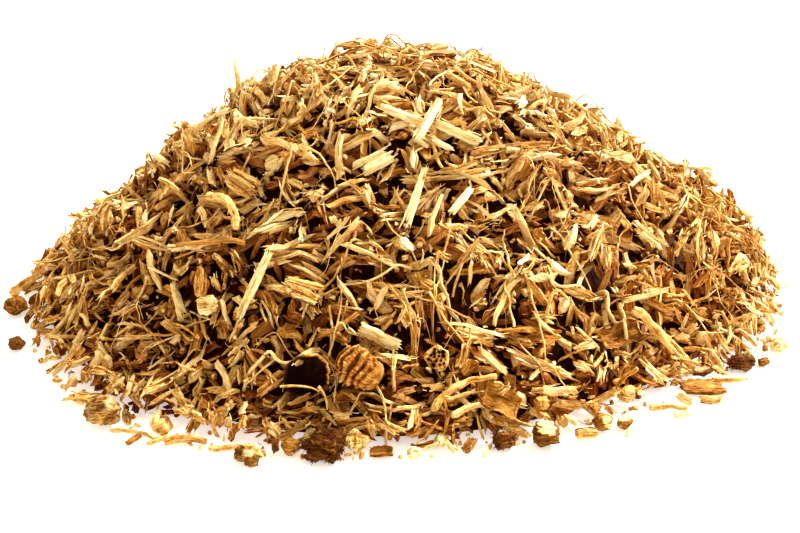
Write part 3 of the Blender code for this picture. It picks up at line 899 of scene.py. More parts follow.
class Corners:
    """The corner layout of one loft: for each face corner its point, its ring and its side."""

    def __init__(self, rings: int, sides: int) -> None:
        """Works out a tube of quads closed by a fan of triangles at each end, with its faces out.

        Args:
            rings: Rings of points along the tube.
            sides: Points in a ring.
        """
        ring, side = np.meshgrid(np.arange(rings - 1), np.arange(sides), indexing="ij")
        quad_ring = np.stack([ring, ring, ring + 1, ring + 1], -1).reshape(-1)
        quad_side = np.stack([side, side + 1, side + 1, side], -1).reshape(-1)
        k = np.arange(sides)
        first_ring = np.tile([-1, 0, 0], sides)
        first_side = np.stack([k + 0.5, k + 1, k], -1).reshape(-1)
        last_ring = np.tile([rings, rings - 1, rings - 1], sides)
        last_side = np.stack([k + 0.5, k, k + 1], -1).reshape(-1)
        self.ring = np.concatenate([quad_ring, first_ring, last_ring])
        self.side = np.concatenate([quad_side, first_side, last_side]).astype(float)
        point = np.clip(self.ring, 0, rings - 1) * sides + np.floor(self.side).astype(int) % sides
        point = np.where(self.ring == -1, rings * sides, point)
        self.point = np.where(self.ring == rings, rings * sides + 1, point)
        self.points = rings * sides + 2
        self.totals = np.concatenate([np.full((rings - 1) * sides, 4), np.full(2 * sides, 3)])


def write_mesh(name: str, lofts: Sequence[Loft], finish: bpy.types.Material,
               sharp: float = 38.0) -> bpy.types.Object:
    """Writes lofts as one mesh object at the origin, with the grain's map, a map for baking and the tint.

    The map for baking has a cell for each piece. What would lie under the floor is brought to just above it:
    its height becomes an exponential of its depth.

    Args:
        name: The object's name.
        lofts: What it is made of.
        finish: Its material.
        sharp: Edges that turn by more than this many degrees stay sharp.

    Returns:
        The object.
    """
    total = sum(len(loft.points) for loft in lofts)
    columns = max(1, math.ceil(math.sqrt(total / 2)))
    rows = math.ceil(total / columns)
    places, tints, vertices, totals, grains, cells = [], [], [], [], [], []
    base = piece = 0
    for loft in lofts:
        n, rings, sides = loft.points.shape[:3]
        corners = Corners(rings, sides)
        places.append(np.concatenate([loft.points.reshape(n, -1, 3), loft.poles], 1).reshape(-1, 3))
        tints.append(np.concatenate([loft.tint.reshape(n, -1, 4), loft.pole_tint], 1).reshape(-1, 4))
        order = np.arange(n)[:, None]
        vertices.append((corners.point + order * corners.points + base).ravel())
        totals.append(np.tile(corners.totals, n))
        ring = np.clip(corners.ring, 0, rings - 1)
        past = POLE_RUN * ((corners.ring == rings).astype(float) - (corners.ring == -1))
        number = order + piece
        u = loft.run[:, ring] + past + number * GRAIN_SHIFT[0]
        v = loft.girth[:, None] * corners.side / sides + number * GRAIN_SHIFT[1]
        grains.append(np.stack([u, v], -1).reshape(-1, 2))
        along = BAKE_START[0] + BAKE_SPAN[0] * (corners.ring + 1) / (rings + 1)
        across = BAKE_START[1] + BAKE_SPAN[1] * corners.side / sides
        cell_u = (number % columns + along) / columns
        cell_v = (number // columns + across) / rows
        cells.append(np.stack([cell_u, cell_v], -1).reshape(-1, 2))
        base += n * corners.points
        piece += n
    places, vertices, totals = (np.concatenate(a) for a in (places, vertices, totals))
    z = places[:, 2]
    places[:, 2] = np.where(z < LOWEST, LOWEST * np.exp((z - LOWEST) / SQUEEZE), z)
    mesh = bpy.data.meshes.new(name)
    mesh.vertices.add(len(places))
    mesh.vertices.foreach_set("co", places.astype(np.float32).ravel())
    mesh.loops.add(len(vertices))
    mesh.loops.foreach_set("vertex_index", vertices.astype(np.int32))
    mesh.polygons.add(len(totals))
    mesh.polygons.foreach_set("loop_start", (np.cumsum(totals) - totals).astype(np.int32))
    mesh.polygons.foreach_set("loop_total", totals.astype(np.int32))
    for layer, values in (("Grain", grains), ("OFBake", cells)):
        flat = np.concatenate(values).astype(np.float32).ravel()
        mesh.uv_layers.new(name=layer).uv.foreach_set("vector", flat)
    tint = mesh.attributes.new("Tint", "FLOAT_COLOR", "POINT")
    tint.data.foreach_set("color", np.concatenate(tints).astype(np.float32).ravel())
    mesh.update(calc_edges=True)
    mesh.shade_smooth()
    mesh.set_sharp_from_angle(angle=math.radians(sharp))
    mesh.materials.append(finish)
    obj = bpy.data.objects.new(name, mesh)
    bpy.context.scene.collection.objects.link(obj)
    return obj


def hand_over(obj: bpy.types.Object, slot: str, *nodes: str) -> None:
    """Puts a finished piece on the heap's body, in place of its solids, and reports it.

    Args:
        obj: The piece.
        slot: Its material slot; not used.
        *nodes: The solids that it takes the place of.
    """
    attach(obj, "root")
    if nodes:
        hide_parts(*nodes)
    obj.data.calc_loop_triangles()
    log.info("%s: %d triangles", obj.name, len(obj.data.loop_triangles))


PALE = Tint(tone=(0.62, 0.98), barked=0.12)
MIXED = Tint(tone=(0.4, 0.92), barked=0.24, bark=(0.4, 0.9))
# Lower layers have darker tones, as painted shade under the pieces laid over them.
SHADED_UNDER = Tint(tone=(0.35, 0.75), barked=0.35)
BROWN = Tint(tone=(0.3, 0.55), barked=0.9, bark=(0.6, 1.0), hue=(0.2, 1.0), wrap=0.6)
ROOTY = Tint(tone=(0.45, 0.75), barked=0.6, bark=(0.35, 0.75), hue=(0.4, 1.0), end_tone=0.25)
WOOLLY = Tint(tone=(0.3, 0.5), barked=1.0, bark=(0.7, 1.0), hue=(-0.3, 0.45), wrap=1.5, end_tone=0.0)
HAIRY = Tint(tone=(0.55, 0.9), barked=0.3, bark=(0.3, 0.6), hue=(0.4, 1.0))
GOLDEN_ROOT = Tint(tone=(0.64, 0.82), barked=0.6, bark=(0.2, 0.45), hue=(0.6, 1.0), end_tone=0.2)

RAGGED = Cut(ridges=0.36, roughness=0.18, taper=(0.0, 0.6), jag=(0.0, 0.34), bend=0.06, twist=0.7, wave=0.1,
             uneven=0.16)
ROUND = Cut(squareness=0.95, ridges=0.1, roughness=0.08, taper=(0.0, 0.35), thinning=(0.0, 0.3),
            jag=(0.0, 0.06), bend=0.11, wave=0.2, uneven=0.1)
LUMPY = Cut(Ends.DOME, squareness=0.6, ridges=0.28, roughness=0.2, bend=0.06, twist=0.8)
PLATE = Cut(squareness=0.5, ridges=0.09, roughness=0.1, taper=(0.1, 0.7), jag=(0.0, 0.18), curl=(0.0, 0.4),
            bend=0.06, twist=0.5, wave=0.1, uneven=0.12)

MAKES = (
    Make("foot_bed", 900, 5, 4, (3, 8), (1.2, 3.0), (0.6, 1.2), RAGGED, SHADED_UNDER, ring=(0.86, 1.0), standing=0,
         over=-0.5),
    Make("under_splinters", 2100, 5, 5, (6, 13), (1.5, 3.0), (0.8, 1.6), RAGGED, SHADED_UNDER, over=-0.8),
    Make("fines", 2200, 4, 4, (2.5, 7.0), (0.5, 1.4), (0.4, 1.0), RAGGED, MIXED, standing=0.1, over=-0.9),
    Make("split_chips", 620, 6, 5, (7, 18), (1.7, 3.6), (1.1, 2.1), RAGGED, MIXED, strips=4, parting=0.06,
         lag=0.45, over=0.9),
    Make("chunks", 110, 7, 9, (2.8, 5.4), (2.0, 3.6), (1.6, 2.8), LUMPY, MIXED, over=1.0),
    Make("bark_flakes", 80, 6, 10, (4, 8), (1.8, 3.4), (0.45, 0.8), PLATE, BROWN, over=1.1),
    Make("frayed_chips", 420, 6, 4, (6, 14), (1.6, 3.4), (0.9, 1.8), RAGGED, MIXED, strips=5, parting=0.12,
         lag=0.6, over=1.3),
    Make("splinters", 1200, 6, 5, (6, 17), (0.9, 2.1), (0.8, 1.8), RAGGED, MIXED, over=1.7, rare=1.1),
    Make("root_lengths", 300, 9, 6, (6, 17), (0.9, 2.0), (0.9, 1.9), ROUND, ROOTY, over=1.9),
    Make("pale_chips", 330, 6, 5, (6, 13), (1.4, 2.9), (0.8, 1.7), RAGGED, PALE, strips=3, lag=0.35,
         over=1.9),
    Make("slivers", 1600, 5, 4, (3.0, 12), (0.5, 1.3), (0.4, 0.9), RAGGED, MIXED, standing=0.15, over=2.1),
    Make("crumbs", 700, 3, 5, (0.7, 2.4), (0.6, 1.8), (0.5, 1.3), LUMPY, MIXED, over=1.8),
)
FOOT_MAKES = (
    Make("foot_chips", 420, 6, 5, (4, 10), (1.6, 3.4), (0.8, 1.6), RAGGED, MIXED, strips=3, lag=0.4,
         ring=(0.9, 1.005), standing=0, over=2.6),
    Make("foot_splinters", 700, 6, 5, (3, 9), (0.8, 2.0), (0.6, 1.3), RAGGED, MIXED, ring=(0.9, 1.02),
         standing=0, over=2.4),
    Make("foot_crumbs", 620, 3, 5, (0.6, 2.6), (0.5, 1.9), (0.4, 1.3), LUMPY, MIXED, ring=(0.92, 1.03),
         standing=0),
)


@dataclass(frozen=True)
class Frays:
    """Fine fibres torn from the ends of chips."""

    name: str = "frays"
    count: int = 3900
    length: Span = (0.9, 2.8)
    width: Span = (0.16, 0.42)
    splay: Span = (-0.4, 0.4)
    lift: Span = (-0.1, 0.5)

    def loft(self, poses: Poses, deep: np.ndarray, rng: Draws) -> Loft:
        """Sets each fibre at an end of a chip drawn at random, pointing out, to a side and up.

        Args:
            poses: The chips.
            deep: How deep each chip lies.
            rng: The seeded draws.

        Returns:
            The lofted fibres.
        """
        pick = rng.integers(0, len(poses), self.count)
        along, side, up, size = (a[pick] for a in (poses.along, poses.side, poses.up, poses.size))
        column = (self.count, 1)
        end = rng.choice([-1, 1], column)
        way = unit(along * end + side * spread(rng, self.splay, column) + up * spread(rng, self.lift, column))
        long = spread(rng, self.length, column) * MM
        centre = poses.centre[pick] + along * end * size[:, :1] * spread(rng, (0.2, 0.46), column)
        centre = centre + side * size[:, 1:2] * spread(rng, (-0.5, 0.5), column)
        centre = centre + up * size[:, 2:] * spread(rng, (0.0, 0.5), column) + way * long * 0.3
        thin = spread(rng, self.width, column) * MM
        across = unit(np.cross(up, way))
        sizes = np.concatenate([long, thin, thin * 0.7], 1)
        fibres = Poses(centre, way, across, np.cross(way, across), sizes)
        cut = Cut(taper=(0.2, 0.9), bend=0.12, wave=0.3)
        return cut.loft(fibres, 4, 3, MIXED, deep[pick], rng)


def drape(pile: Pile, x: np.ndarray, y: np.ndarray) -> np.ndarray:
    """Heights of threads pulled taut over the pile.

    Again and again, each height becomes the higher of the pile's and its neighbours' mean.

    Args:
        pile: The finished pile.
        x: Places along each thread, as threads x points.
        y: The same.

    Returns:
        The height at each place.
    """
    ground = pile.top[pile.at(x, y)]
    z = ground.copy()
    for _ in range(PULLS):
        z[:, 1:-1] = np.maximum(ground[:, 1:-1], 0.5 * (z[:, :-2] + z[:, 2:]))
    return z


def eased(z: np.ndarray) -> np.ndarray:
    """Heights along threads, each but the first and last averaged with its neighbours."""
    return np.concatenate([z[:, :1], (z[:, :-2] + 2 * z[:, 1:-1] + z[:, 2:]) / 4, z[:, -1:]], 1)


@dataclass(frozen=True)
class LaidRoots:
    """Longer roots that lie on the surface at places of their own."""

    name: str = "laid_roots"
    rings: int = 20
    sides: int = 7
    paths: tuple = (
        (0.33, (-4.4, -80.5), (-3.0, -83.0), (-2.3, -86.0), (-2.0, -89.0)),
        (0.24, (-15.0, -77.7), (-13.0, -75.0), (-9.7, -73.7), (-5.0, -72.7)),
        (0.55, (7.1, -59.5), (10.7, -64.4), (13.7, -69.5)),
        (0.42, (28.5, -61.6), (35.2, -57.8), (42.5, -55.0)),
        (0.8, (11.2, -87.2), (15.0, -84.4), (19.5, -82.8)),
        (0.5, (-8.5, -29.5), (-4.0, -24.6), (0.5, -19.5)),
        (0.42, (-31.5, -78.3), (-25.2, -77.0), (-19.0, -78.3)),
        (0.6, (44.5, -51.0), (47.4, -57.2), (51.0, -62.6)),
        (0.36, (12.0, -61.5), (16.5, -57.0), (22.0, -55.0)),
        (0.34, (95.5, -6.5), (100.8, -1.8), (105.8, 2.2)),
        (0.62, (93.0, -18.0), (98.7, -12.7), (103.8, -7.6)),
    )

    def loft(self, pile: Pile, rng: Draws) -> Loft:
        """Each root is a parabola through its places in plan, draped over the pile, and waves a little.

        Args:
            pile: The finished pile.
            rng: The seeded draws.

        Returns:
            The lofted roots.
        """
        way = np.linspace(0, 1, self.rings)
        plan = []
        for _, *places in self.paths:
            knots = np.linspace(0, 1, len(places))
            plan.append([np.polyval(np.polyfit(knots, column, 2), way) for column in np.array(places).T])
        x, y = np.swapaxes(np.array(plan), 0, 1) * MM
        z = eased(drape(pile, x, y))
        thick = np.array([path[0] for path in self.paths])[:, None] * MM * (1 - 0.35 * way)
        path = np.stack([x, y, z + 0.8 * thick], -1)
        path = path + 0.35 * MM * ripple(path, 7 * MM, rng)[..., None] * np.array([0.7, 0.7, 0.3])
        lean = np.repeat(np.array([[0.0, 0.0, 1.0]]), len(path), 0)
        return tubes(path, thick, lean, self.sides, 0.12, GOLDEN_ROOT, np.zeros(len(path)), rng)


@dataclass
class Rootlets:
    """Thin rootlets that are draped over the pile."""

    name: str
    count: int
    rings: int
    sides: int
    length: Span
    radius: Span
    curl: float
    spring: float
    tint: Tint = HAIRY

    def loft(self, pile: Pile, rng: Draws) -> Loft:
        """Drapes the rootlets.

        In plan each is a walk of even steps whose heading turns by a slow bend and two sines. Some spring up
        from the pile by a parabola.

        Args:
            pile: The finished pile.
            rng: The seeded draws.

        Returns:
            The lofted rootlets.
        """
        n = self.count
        way = np.linspace(0, 1, self.rings)[None]
        bearing = rng.uniform(0, FULL_TURN, (n, 1))
        radius = np.sqrt(rng.uniform(0, 0.94, (n, 1))) * pile.mound.foot(bearing)
        length = spread(rng, self.length, (n, 1)) * MM
        heading = rng.uniform(0, FULL_TURN, (n, 1))
        heading = heading + spread(rng, (-self.curl, self.curl), (n, 1)) * (way - 0.5)
        for waves in (1.6, 3.7):
            phase = rng.uniform(0, FULL_TURN, (n, 1))
            swing = spread(rng, (0, 0.3), (n, 1)) * self.curl
            heading = heading + swing * np.sin(FULL_TURN * waves * way + phase)
        step = length / (self.rings - 1)
        x, y = np.cumsum(np.cos(heading) * step, 1), np.cumsum(np.sin(heading) * step, 1)
        x = x - x.mean(1, keepdims=True) + radius * np.cos(bearing)
        y = y - y.mean(1, keepdims=True) + radius * np.sin(bearing)
        x, y = np.clip(x, pile.low[0], pile.high[0]), np.clip(y, pile.low[1], pile.high[1])
        free = (pile.lid[pile.at(x, y)] == 0).all(1)
        x, y, length, n = x[free], y[free], length[free], int(free.sum())
        z = drape(pile, x, y)
        springs = spread(rng, (-1, 1), (n, 1)).clip(0) * self.spring
        z = eased(np.minimum(z + springs * length * (1 - (2 * way - 1) ** 2), pile.roof))
        thick = spread(rng, self.radius, (n, 1)) * MM * (1 - 0.45 * way)
        path = np.stack([x, y, z + 0.6 * thick], -1)
        lean = unit(np.array([0, 0, 1.0]) + 0.2 * rng.normal(size=(n, 3)))
        return tubes(path, thick, lean, self.sides, 0.12, self.tint, np.zeros(n), rng)


ROOTLETS = (
    Rootlets("rootlets", 300, 14, 5, (7, 18), (0.2, 0.46), 1.2, 0.1, ROOTY),
    Rootlets("hair_rootlets", 260, 16, 4, (5, 16), (0.08, 0.15), 2.2, 0.13),
)


@dataclass
class Studio:
    """The floor, the light and the camera at the photograph's angle."""

    target: Triple = (0.689 * MM, 0.0, 1.973 * MM)
    distance: float = 320.0 * MM
    elevation: float = math.radians(22.671)
    lens: float = 53.37
    sensor: float = 36.0
    floor_size: float = 4.0
    floor_glow: float = 0.38
    floor_colour: tuple = (0.82, 0.815, 0.805, 1)
    sky: float = 0.66
    sky_colour: tuple = (1, 0.89, 0.71, 1)
    key: float = 6.2
    key_turn: Triple = (math.radians(-29), math.radians(41), 0.0)
    key_softness: float = math.radians(18)

    def camera(self) -> None:
        """Puts the camera in front, looking down at the target."""
        data = bpy.data.cameras.new("camera")
        data.lens, data.sensor_width = self.lens, self.sensor
        data.clip_start, data.clip_end = 0.01, 20.0
        camera = bpy.data.objects.new("camera", data)
        x, y, z = self.target
        camera.location = (x, y - self.distance * math.cos(self.elevation),
                           z + self.distance * math.sin(self.elevation))
        camera.rotation_euler = (math.pi / 2 - self.elevation, 0, 0)
        bpy.context.scene.collection.objects.link(camera)
        bpy.context.scene.camera = camera

    def floor(self) -> None:
        """Lays a plain pale floor under the heap, lit a little from below as a light table is."""
        half = self.floor_size / 2
        mesh = bpy.data.meshes.new("floor")
        corners = [(-half, -half, 0), (half, -half, 0), (half, half, 0), (-half, half, 0)]
        mesh.from_pydata(corners, [], [(0, 1, 2, 3)])
        material = bpy.data.materials.new("floor_paper")
        material.use_nodes = True
        shader = material.node_tree.nodes["Principled BSDF"]
        shader.inputs["Base Color"].default_value = self.floor_colour
        shader.inputs["Roughness"].default_value = 0.9
        shader.inputs["Emission Color"].default_value = (1, 1, 1, 1)
        shader.inputs["Emission Strength"].default_value = self.floor_glow
        mesh.materials.append(material)
        floor = bpy.data.objects.new("floor", mesh)
        bpy.context.scene.collection.objects.link(floor)

    def light(self) -> None:
        """Adds an even sky and one soft light from above and behind."""
        world = bpy.data.worlds.new("sky")
        world.use_nodes = True
        world.node_tree.nodes["Background"].inputs["Color"].default_value = self.sky_colour
        world.node_tree.nodes["Background"].inputs["Strength"].default_value = self.sky
        bpy.context.scene.world = world
        data = bpy.data.lights.new("key", "SUN")
        data.energy, data.angle = self.key, self.key_softness
        lamp = bpy.data.objects.new("key", data)
        lamp.rotation_euler = self.key_turn
        bpy.context.scene.collection.objects.link(lamp)

    def build(self) -> None:
        """Sets up all of it."""
        self.camera()
        self.floor()
        self.light()
        view = bpy.context.scene.view_settings
        view.view_transform = "Standard"
        view.look = "High Contrast"


def node_triangles(name: str) -> np.ndarray:
    """The triangles of a solid, as triangles x 3 corners x 3.

    Args:
        name: The solid's node.

    Returns:
        Its triangles.
    """
    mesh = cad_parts[name].data
    mesh.calc_loop_triangles()
    corners = np.empty(3 * len(mesh.loop_triangles), np.int32)
    mesh.loop_triangles.foreach_get("vertices", corners)
    places = np.empty(3 * len(mesh.vertices), np.float32)
    mesh.vertices.foreach_get("co", places)
    return places.reshape(-1, 3)[corners].reshape(-1, 3, 3).astype(float)


@dataclass
class Seat:
    """Where a solid lies: its middle, its directions on the slope or on the plane, and its size."""

    pose: Poses
    spots: np.ndarray

    @classmethod
    def of(cls, name: str, mound: Mound, heading: float | None = None) -> "Seat":
        """Reads a solid's place from its imported triangles.

        Its upward direction is the slope's, or straight up where it lies on the plane, and it runs along the
        heading, or without one along the longest spread of its points.

        Args:
            name: The solid's node.
            mound: The surface that the heap follows.
            heading: Its direction in plan, in degrees.

        Returns:
            The seat.
        """
        spots = np.unique(np.round(node_triangles(name).reshape(-1, 3), 7), axis=0)
        middle = (spots.min(0) + spots.max(0)) / 2
        on_plane = spots[:, 2].min() < 0.3 * MM
        step = 1.0 * MM
        x, y = middle[:2]
        rise = [(mound.height(x + a, y + b) - mound.height(x - a, y - b)) / (2 * step)
                for a, b in ((step, 0), (0, step))]
        up = np.array([0.0, 0.0, 1.0]) if on_plane else unit(np.array([-rise[0], -rise[1], 1.0]))
        off = spots - spots.mean(0)
        off = off - (off @ up)[:, None] * up
        along = np.linalg.svd(off, full_matrices=False)[2][0]
        along = along * (1 if along[0] - along[1] > 0 else -1)
        if heading is not None:
            along = np.array([math.cos(math.radians(heading)), math.sin(math.radians(heading)), 0.0])
        along = unit(along - along @ up * up)
        side = np.cross(up, along)
        axes = np.array([along, side, up])
        local = spots @ axes.T
        size = np.ptp(local, axis=0)
        centre = (local.min(0) + local.max(0)) / 2 @ axes
        return cls(Poses(*(a[None] for a in (centre, along, side, up, size))), spots)

    def middle_line(self, rings: int, points: int) -> np.ndarray:
        """The line through the middles of the solid's own rings, smoothed to a number of points.

        Args:
            rings: How many rings the solid has.
            points: How many points the line gets.

        Returns:
            The line's points.
        """
        order = np.argsort(self.spots @ self.pose.along[0])
        middles = np.array([self.spots[part].mean(0) for part in np.array_split(order, rings)])
        way, fine = np.linspace(0, 1, rings), np.linspace(0, 1, points)
        line = np.stack([np.interp(fine, way, middles[:, k]) for k in range(3)], 1)
        for _ in range(points // 5):
            line[1:-1] = (line[:-2] + 2 * line[1:-1] + line[2:]) / 4
        return line


@dataclass
class Single:
    """A single larger piece, which takes the place of its solid."""

    node: str
    tint: Tint
    slot: str = "gold_wood"
    heading: float | None = None

    def lofts(self, seat: Seat, rng: Draws) -> list[Loft]:
        """The lofts that it is made of."""
        raise NotImplementedError

    def fibres(self, seat: Seat, count: int, rng: Draws) -> Loft:
        """Fine split fibres that stand off a piece's ends and back.

        Args:
            seat: Where the piece lies.
            count: How many fibres.
            rng: The seeded draws.

        Returns:
            The lofted fibres.
        """
        pose = seat.pose
        length, width, thickness = pose.size[0]
        end = rng.choice([-1, 1], (count, 1)) * spread(rng, (0.2, 0.42), (count, 1))
        centre = pose.centre + pose.along * end * length
        centre = centre + pose.side * spread(rng, (-0.42, 0.42), (count, 1)) * width
        centre = centre + pose.up * spread(rng, (0.0, 0.5), (count, 1)) * thickness
        turn = spread(rng, (-0.16, 0.16), (count, 1))
        lift = spread(rng, (-0.02, 0.12), (count, 1)) * np.sign(end)
        along = unit(pose.along + turn * pose.side + lift * pose.up)
        side = unit(np.cross(pose.up, along))
        size = np.stack([spread(rng, (0.12, 0.3), count) * length, spread(rng, (0.16, 0.34), count) * MM,
                         spread(rng, (0.12, 0.26), count) * MM], 1)
        poses = Poses(centre, along, side, np.cross(along, side), size)
        cut = Cut(bend=0.08, taper=(0.3, 0.85))
        return cut.loft(poses, 5, 5, self.tint, np.zeros(count), rng)

    def build(self, mound: Mound, finish: bpy.types.Material, rng: Draws) -> None:
        """Builds the piece and hands it over in place of its solid.

        Args:
            mound: The surface that the heap follows.
            finish: The material.
            rng: The seeded draws.
        """
        seat = Seat.of(self.node, mound, self.heading)
        obj = write_mesh(self.node + "_look", self.lofts(seat, rng), finish)
        hand_over(obj, self.slot, self.node)


@dataclass
class SplitChip(Single):
    """A split length of wood: strips side by side that end unevenly, with fine fibres at the ends."""

    strips: int = 3
    parting: float = 0.05
    lag: float = 0.22
    frayed: int = 10
    slim: float = 0.85
    cut: Cut = Cut(bend=0.02, twist=0.25, taper=(0.0, 0.45), jag=(0.0, 0.2), wave=0.04, uneven=0.05)

    def lofts(self, seat: Seat, rng: Draws) -> list[Loft]:
        """The strips and the fibres.

        Args:
            seat: Where the piece lies.
            rng: The seeded draws.

        Returns:
            The lofts.
        """
        narrow = replace(seat.pose, size=seat.pose.size * np.array([[1, self.slim, 1]]))
        poses = narrow.strips(self.strips, rng, self.parting, self.lag)
        body = self.cut.loft(poses, 14, 11, self.tint, np.zeros(len(poses)), rng)
        return [body, self.fibres(seat, self.frayed, rng)]


@dataclass
class Flake(Single):
    """A thin plate of bark or wood whose long edges curl up, with an uneven outline."""

    curl: float = 0.15
    plate: float = 0.7
    frayed: int = 6

    def lofts(self, seat: Seat, rng: Draws) -> list[Loft]:
        """The plate and a few fibres. The plate is thinner than its solid, and lies at its solid's bottom.

        Args:
            seat: Where the piece lies.
            rng: The seeded draws.

        Returns:
            The lofts.
        """
        pose = seat.pose
        size = pose.size * np.array([[1, 1, 0]]) + np.array([[0, 0, self.plate * MM]])
        lower = 0.5 * (pose.size[:, 2:] - size[:, 2:]) * 0.6
        poses = replace(pose, centre=pose.centre - pose.up * lower, size=size)
        cut = Cut(squareness=0.5, ridges=0.08, roughness=0.1, taper=(0.0, 0.3), thinning=(0.2, 0.6),
                  jag=(0.0, 0.1), bend=0.05, twist=0.1, curl=(self.curl, self.curl), wave=0.04, uneven=0.06)
        return [cut.loft(poses, 20, 26, self.tint, np.zeros(1), rng), self.fibres(seat, self.frayed, rng)]


@dataclass
class RootLength(Single):
    """A round length of root that follows its solid's bends, with small knobs and side shoots."""

    knobs: float = 0.09
    shoots: int = 2
    rings: int = 6

    def lofts(self, seat: Seat, rng: Draws) -> list[Loft]:
        """The root and its shoots.

        Args:
            seat: Where the piece lies.
            rng: The seeded draws.

        Returns:
            The lofts.
        """
        line = seat.middle_line(self.rings, 30)
        way = np.linspace(0, 1, len(line))
        line = line + ripple(line, 5 * MM, rng)[:, None] * seat.pose.side * 0.12 * MM
        reach = 0.5 * min(seat.pose.size[0, 2], seat.pose.size[0, 1])
        radius = reach * (0.86 - 0.22 * way + 0.05 * ripple(line, 3 * MM, rng))
        radius[[0, -1]] *= 0.8
        lofts = [tubes(line[None], radius[None], seat.pose.up, 14, self.knobs, self.tint, np.zeros(1), rng)]
        for _ in range(self.shoots):
            root = line[rng.integers(5, 25)]
            way_out = seat.pose.side[0] * rng.choice([-1, 1]) + seat.pose.along[0] * rng.uniform(-0.6, 0.6)
            way_out = unit(way_out + seat.pose.up[0] * rng.uniform(-0.1, 0.5))
            step = np.linspace(0, rng.uniform(0.8, 2.2) * MM, 7)[:, None]
            path = root + way_out * step + seat.pose.along * 0.25 * step**2 / MM
            thin = np.linspace(0.28, 0.12, 7)[None] * MM
            lofts.append(tubes(path[None], thin, seat.pose.up, 6, 0.1, self.tint, np.zeros(1), rng))
        return lofts


@dataclass
class Lump(Single):
    """A rounded lump or a crosswise section of root, creased, and cut flat where its wood shows."""

    crease: float = 0.06
    pit: float = 0.03
    square: float = 0.8
    cuts: tuple = ()
    fuzz: int = 0
    hair: Span = (0.25, 0.7)
    wool_tint: Tint = WOOLLY
    rings: int = 24
    sides: int = 30

    def relief(self, spots: np.ndarray, rng: Draws) -> np.ndarray:
        """How far the surface stands in or out: slow creases and fine pits."""
        return self.crease * ripple(spots, 1.1, rng) + self.pit * ripple(spots, 0.32, rng, 14)

    def lofts(self, seat: Seat, rng: Draws) -> list[Loft]:
        """The lump, a ball whose directions are raised to a power, with its relief and its cuts.

        Each cut is a direction along the piece, to its side and up, and the share of the way out where it is
        cut.

        Args:
            seat: Where the piece lies.
            rng: The seeded draws.

        Returns:
            The lofts.
        """
        pose = seat.pose
        polar = (math.pi * (np.arange(self.rings) + 0.8) / (self.rings + 0.6))[:, None]
        turn = FULL_TURN * np.arange(self.sides)[None, :] / self.sides
        wide = np.sin(polar)
        ball = np.stack([-np.cos(polar) + 0 * turn, wide * np.cos(turn), wide * np.sin(turn)], -1)
        ball = unit(np.sign(ball) * np.abs(ball) ** self.square)
        relief = self.relief(ball, rng)
        spots = ball * (1 + relief)[..., None] * 0.94
        tint = self.tint.paint(turn[None] + 0 * polar[None], np.zeros(1), rng)[0]
        # Painted shade and highlight: the tone follows the relief, darker in creases and pits and paler on
        # the bumps.
        tint[..., 0] += 0.8 * relief
        for *way, level in self.cuts:
            way = unit(np.array(way, float))
            past = spots @ way - level
            inside = past > 0
            spots = spots - np.where(inside, past * 0.93, 0)[..., None] * way
            tint[..., 0] = np.where(inside, 0.68 + 0.05 * ripple(spots, 0.5, rng), tint[..., 0])
            tint[..., 1] = np.where(inside, 0.0, tint[..., 1])
        axes = np.stack([pose.along[0], pose.side[0], pose.up[0]])
        points = pose.centre + (spots * 0.5 * pose.size) @ axes
        run = -np.cos(polar[:, 0]) * 0.5 * pose.size[0, 0] / MM
        girth = np.array([math.pi * pose.size[0, 1] / MM])
        lofts = [closed(points[None], tint[None], 0.1, pose, run[None], girth, 0.0)]
        if self.fuzz:
            lofts.append(self.wool(seat, points, ball, rng))
        return lofts

    def wool(self, seat: Seat, points: np.ndarray, ball: np.ndarray, rng: Draws) -> Loft:
        """Short woolly hairs that stand off the surface and curl over.

        Args:
            seat: Where the piece lies.
            points: The surface.
            ball: The way out at each of its points.
            rng: The seeded draws.

        Returns:
            The lofted hairs.
        """
        at = rng.integers(0, len(points.reshape(-1, 3)), self.fuzz)
        axes = np.stack([seat.pose.along[0], seat.pose.side[0], seat.pose.up[0]])
        out = unit(ball.reshape(-1, 3)[at] @ axes)
        sway = unit(rng.normal(size=(self.fuzz, 3)))
        step = np.linspace(-0.2, 1, 6)[None, :, None] * spread(rng, self.hair, (self.fuzz, 1, 1)) * MM
        path = points.reshape(-1, 3)[at][:, None] + out[:, None] * step * 0.6 + sway[:, None] * step
        radius = np.linspace(0.09, 0.04, 6)[None] * MM + np.zeros((self.fuzz, 1))
        return tubes(path, radius, np.cross(sway, out), 3, 0.1, self.wool_tint, np.zeros(self.fuzz), rng)


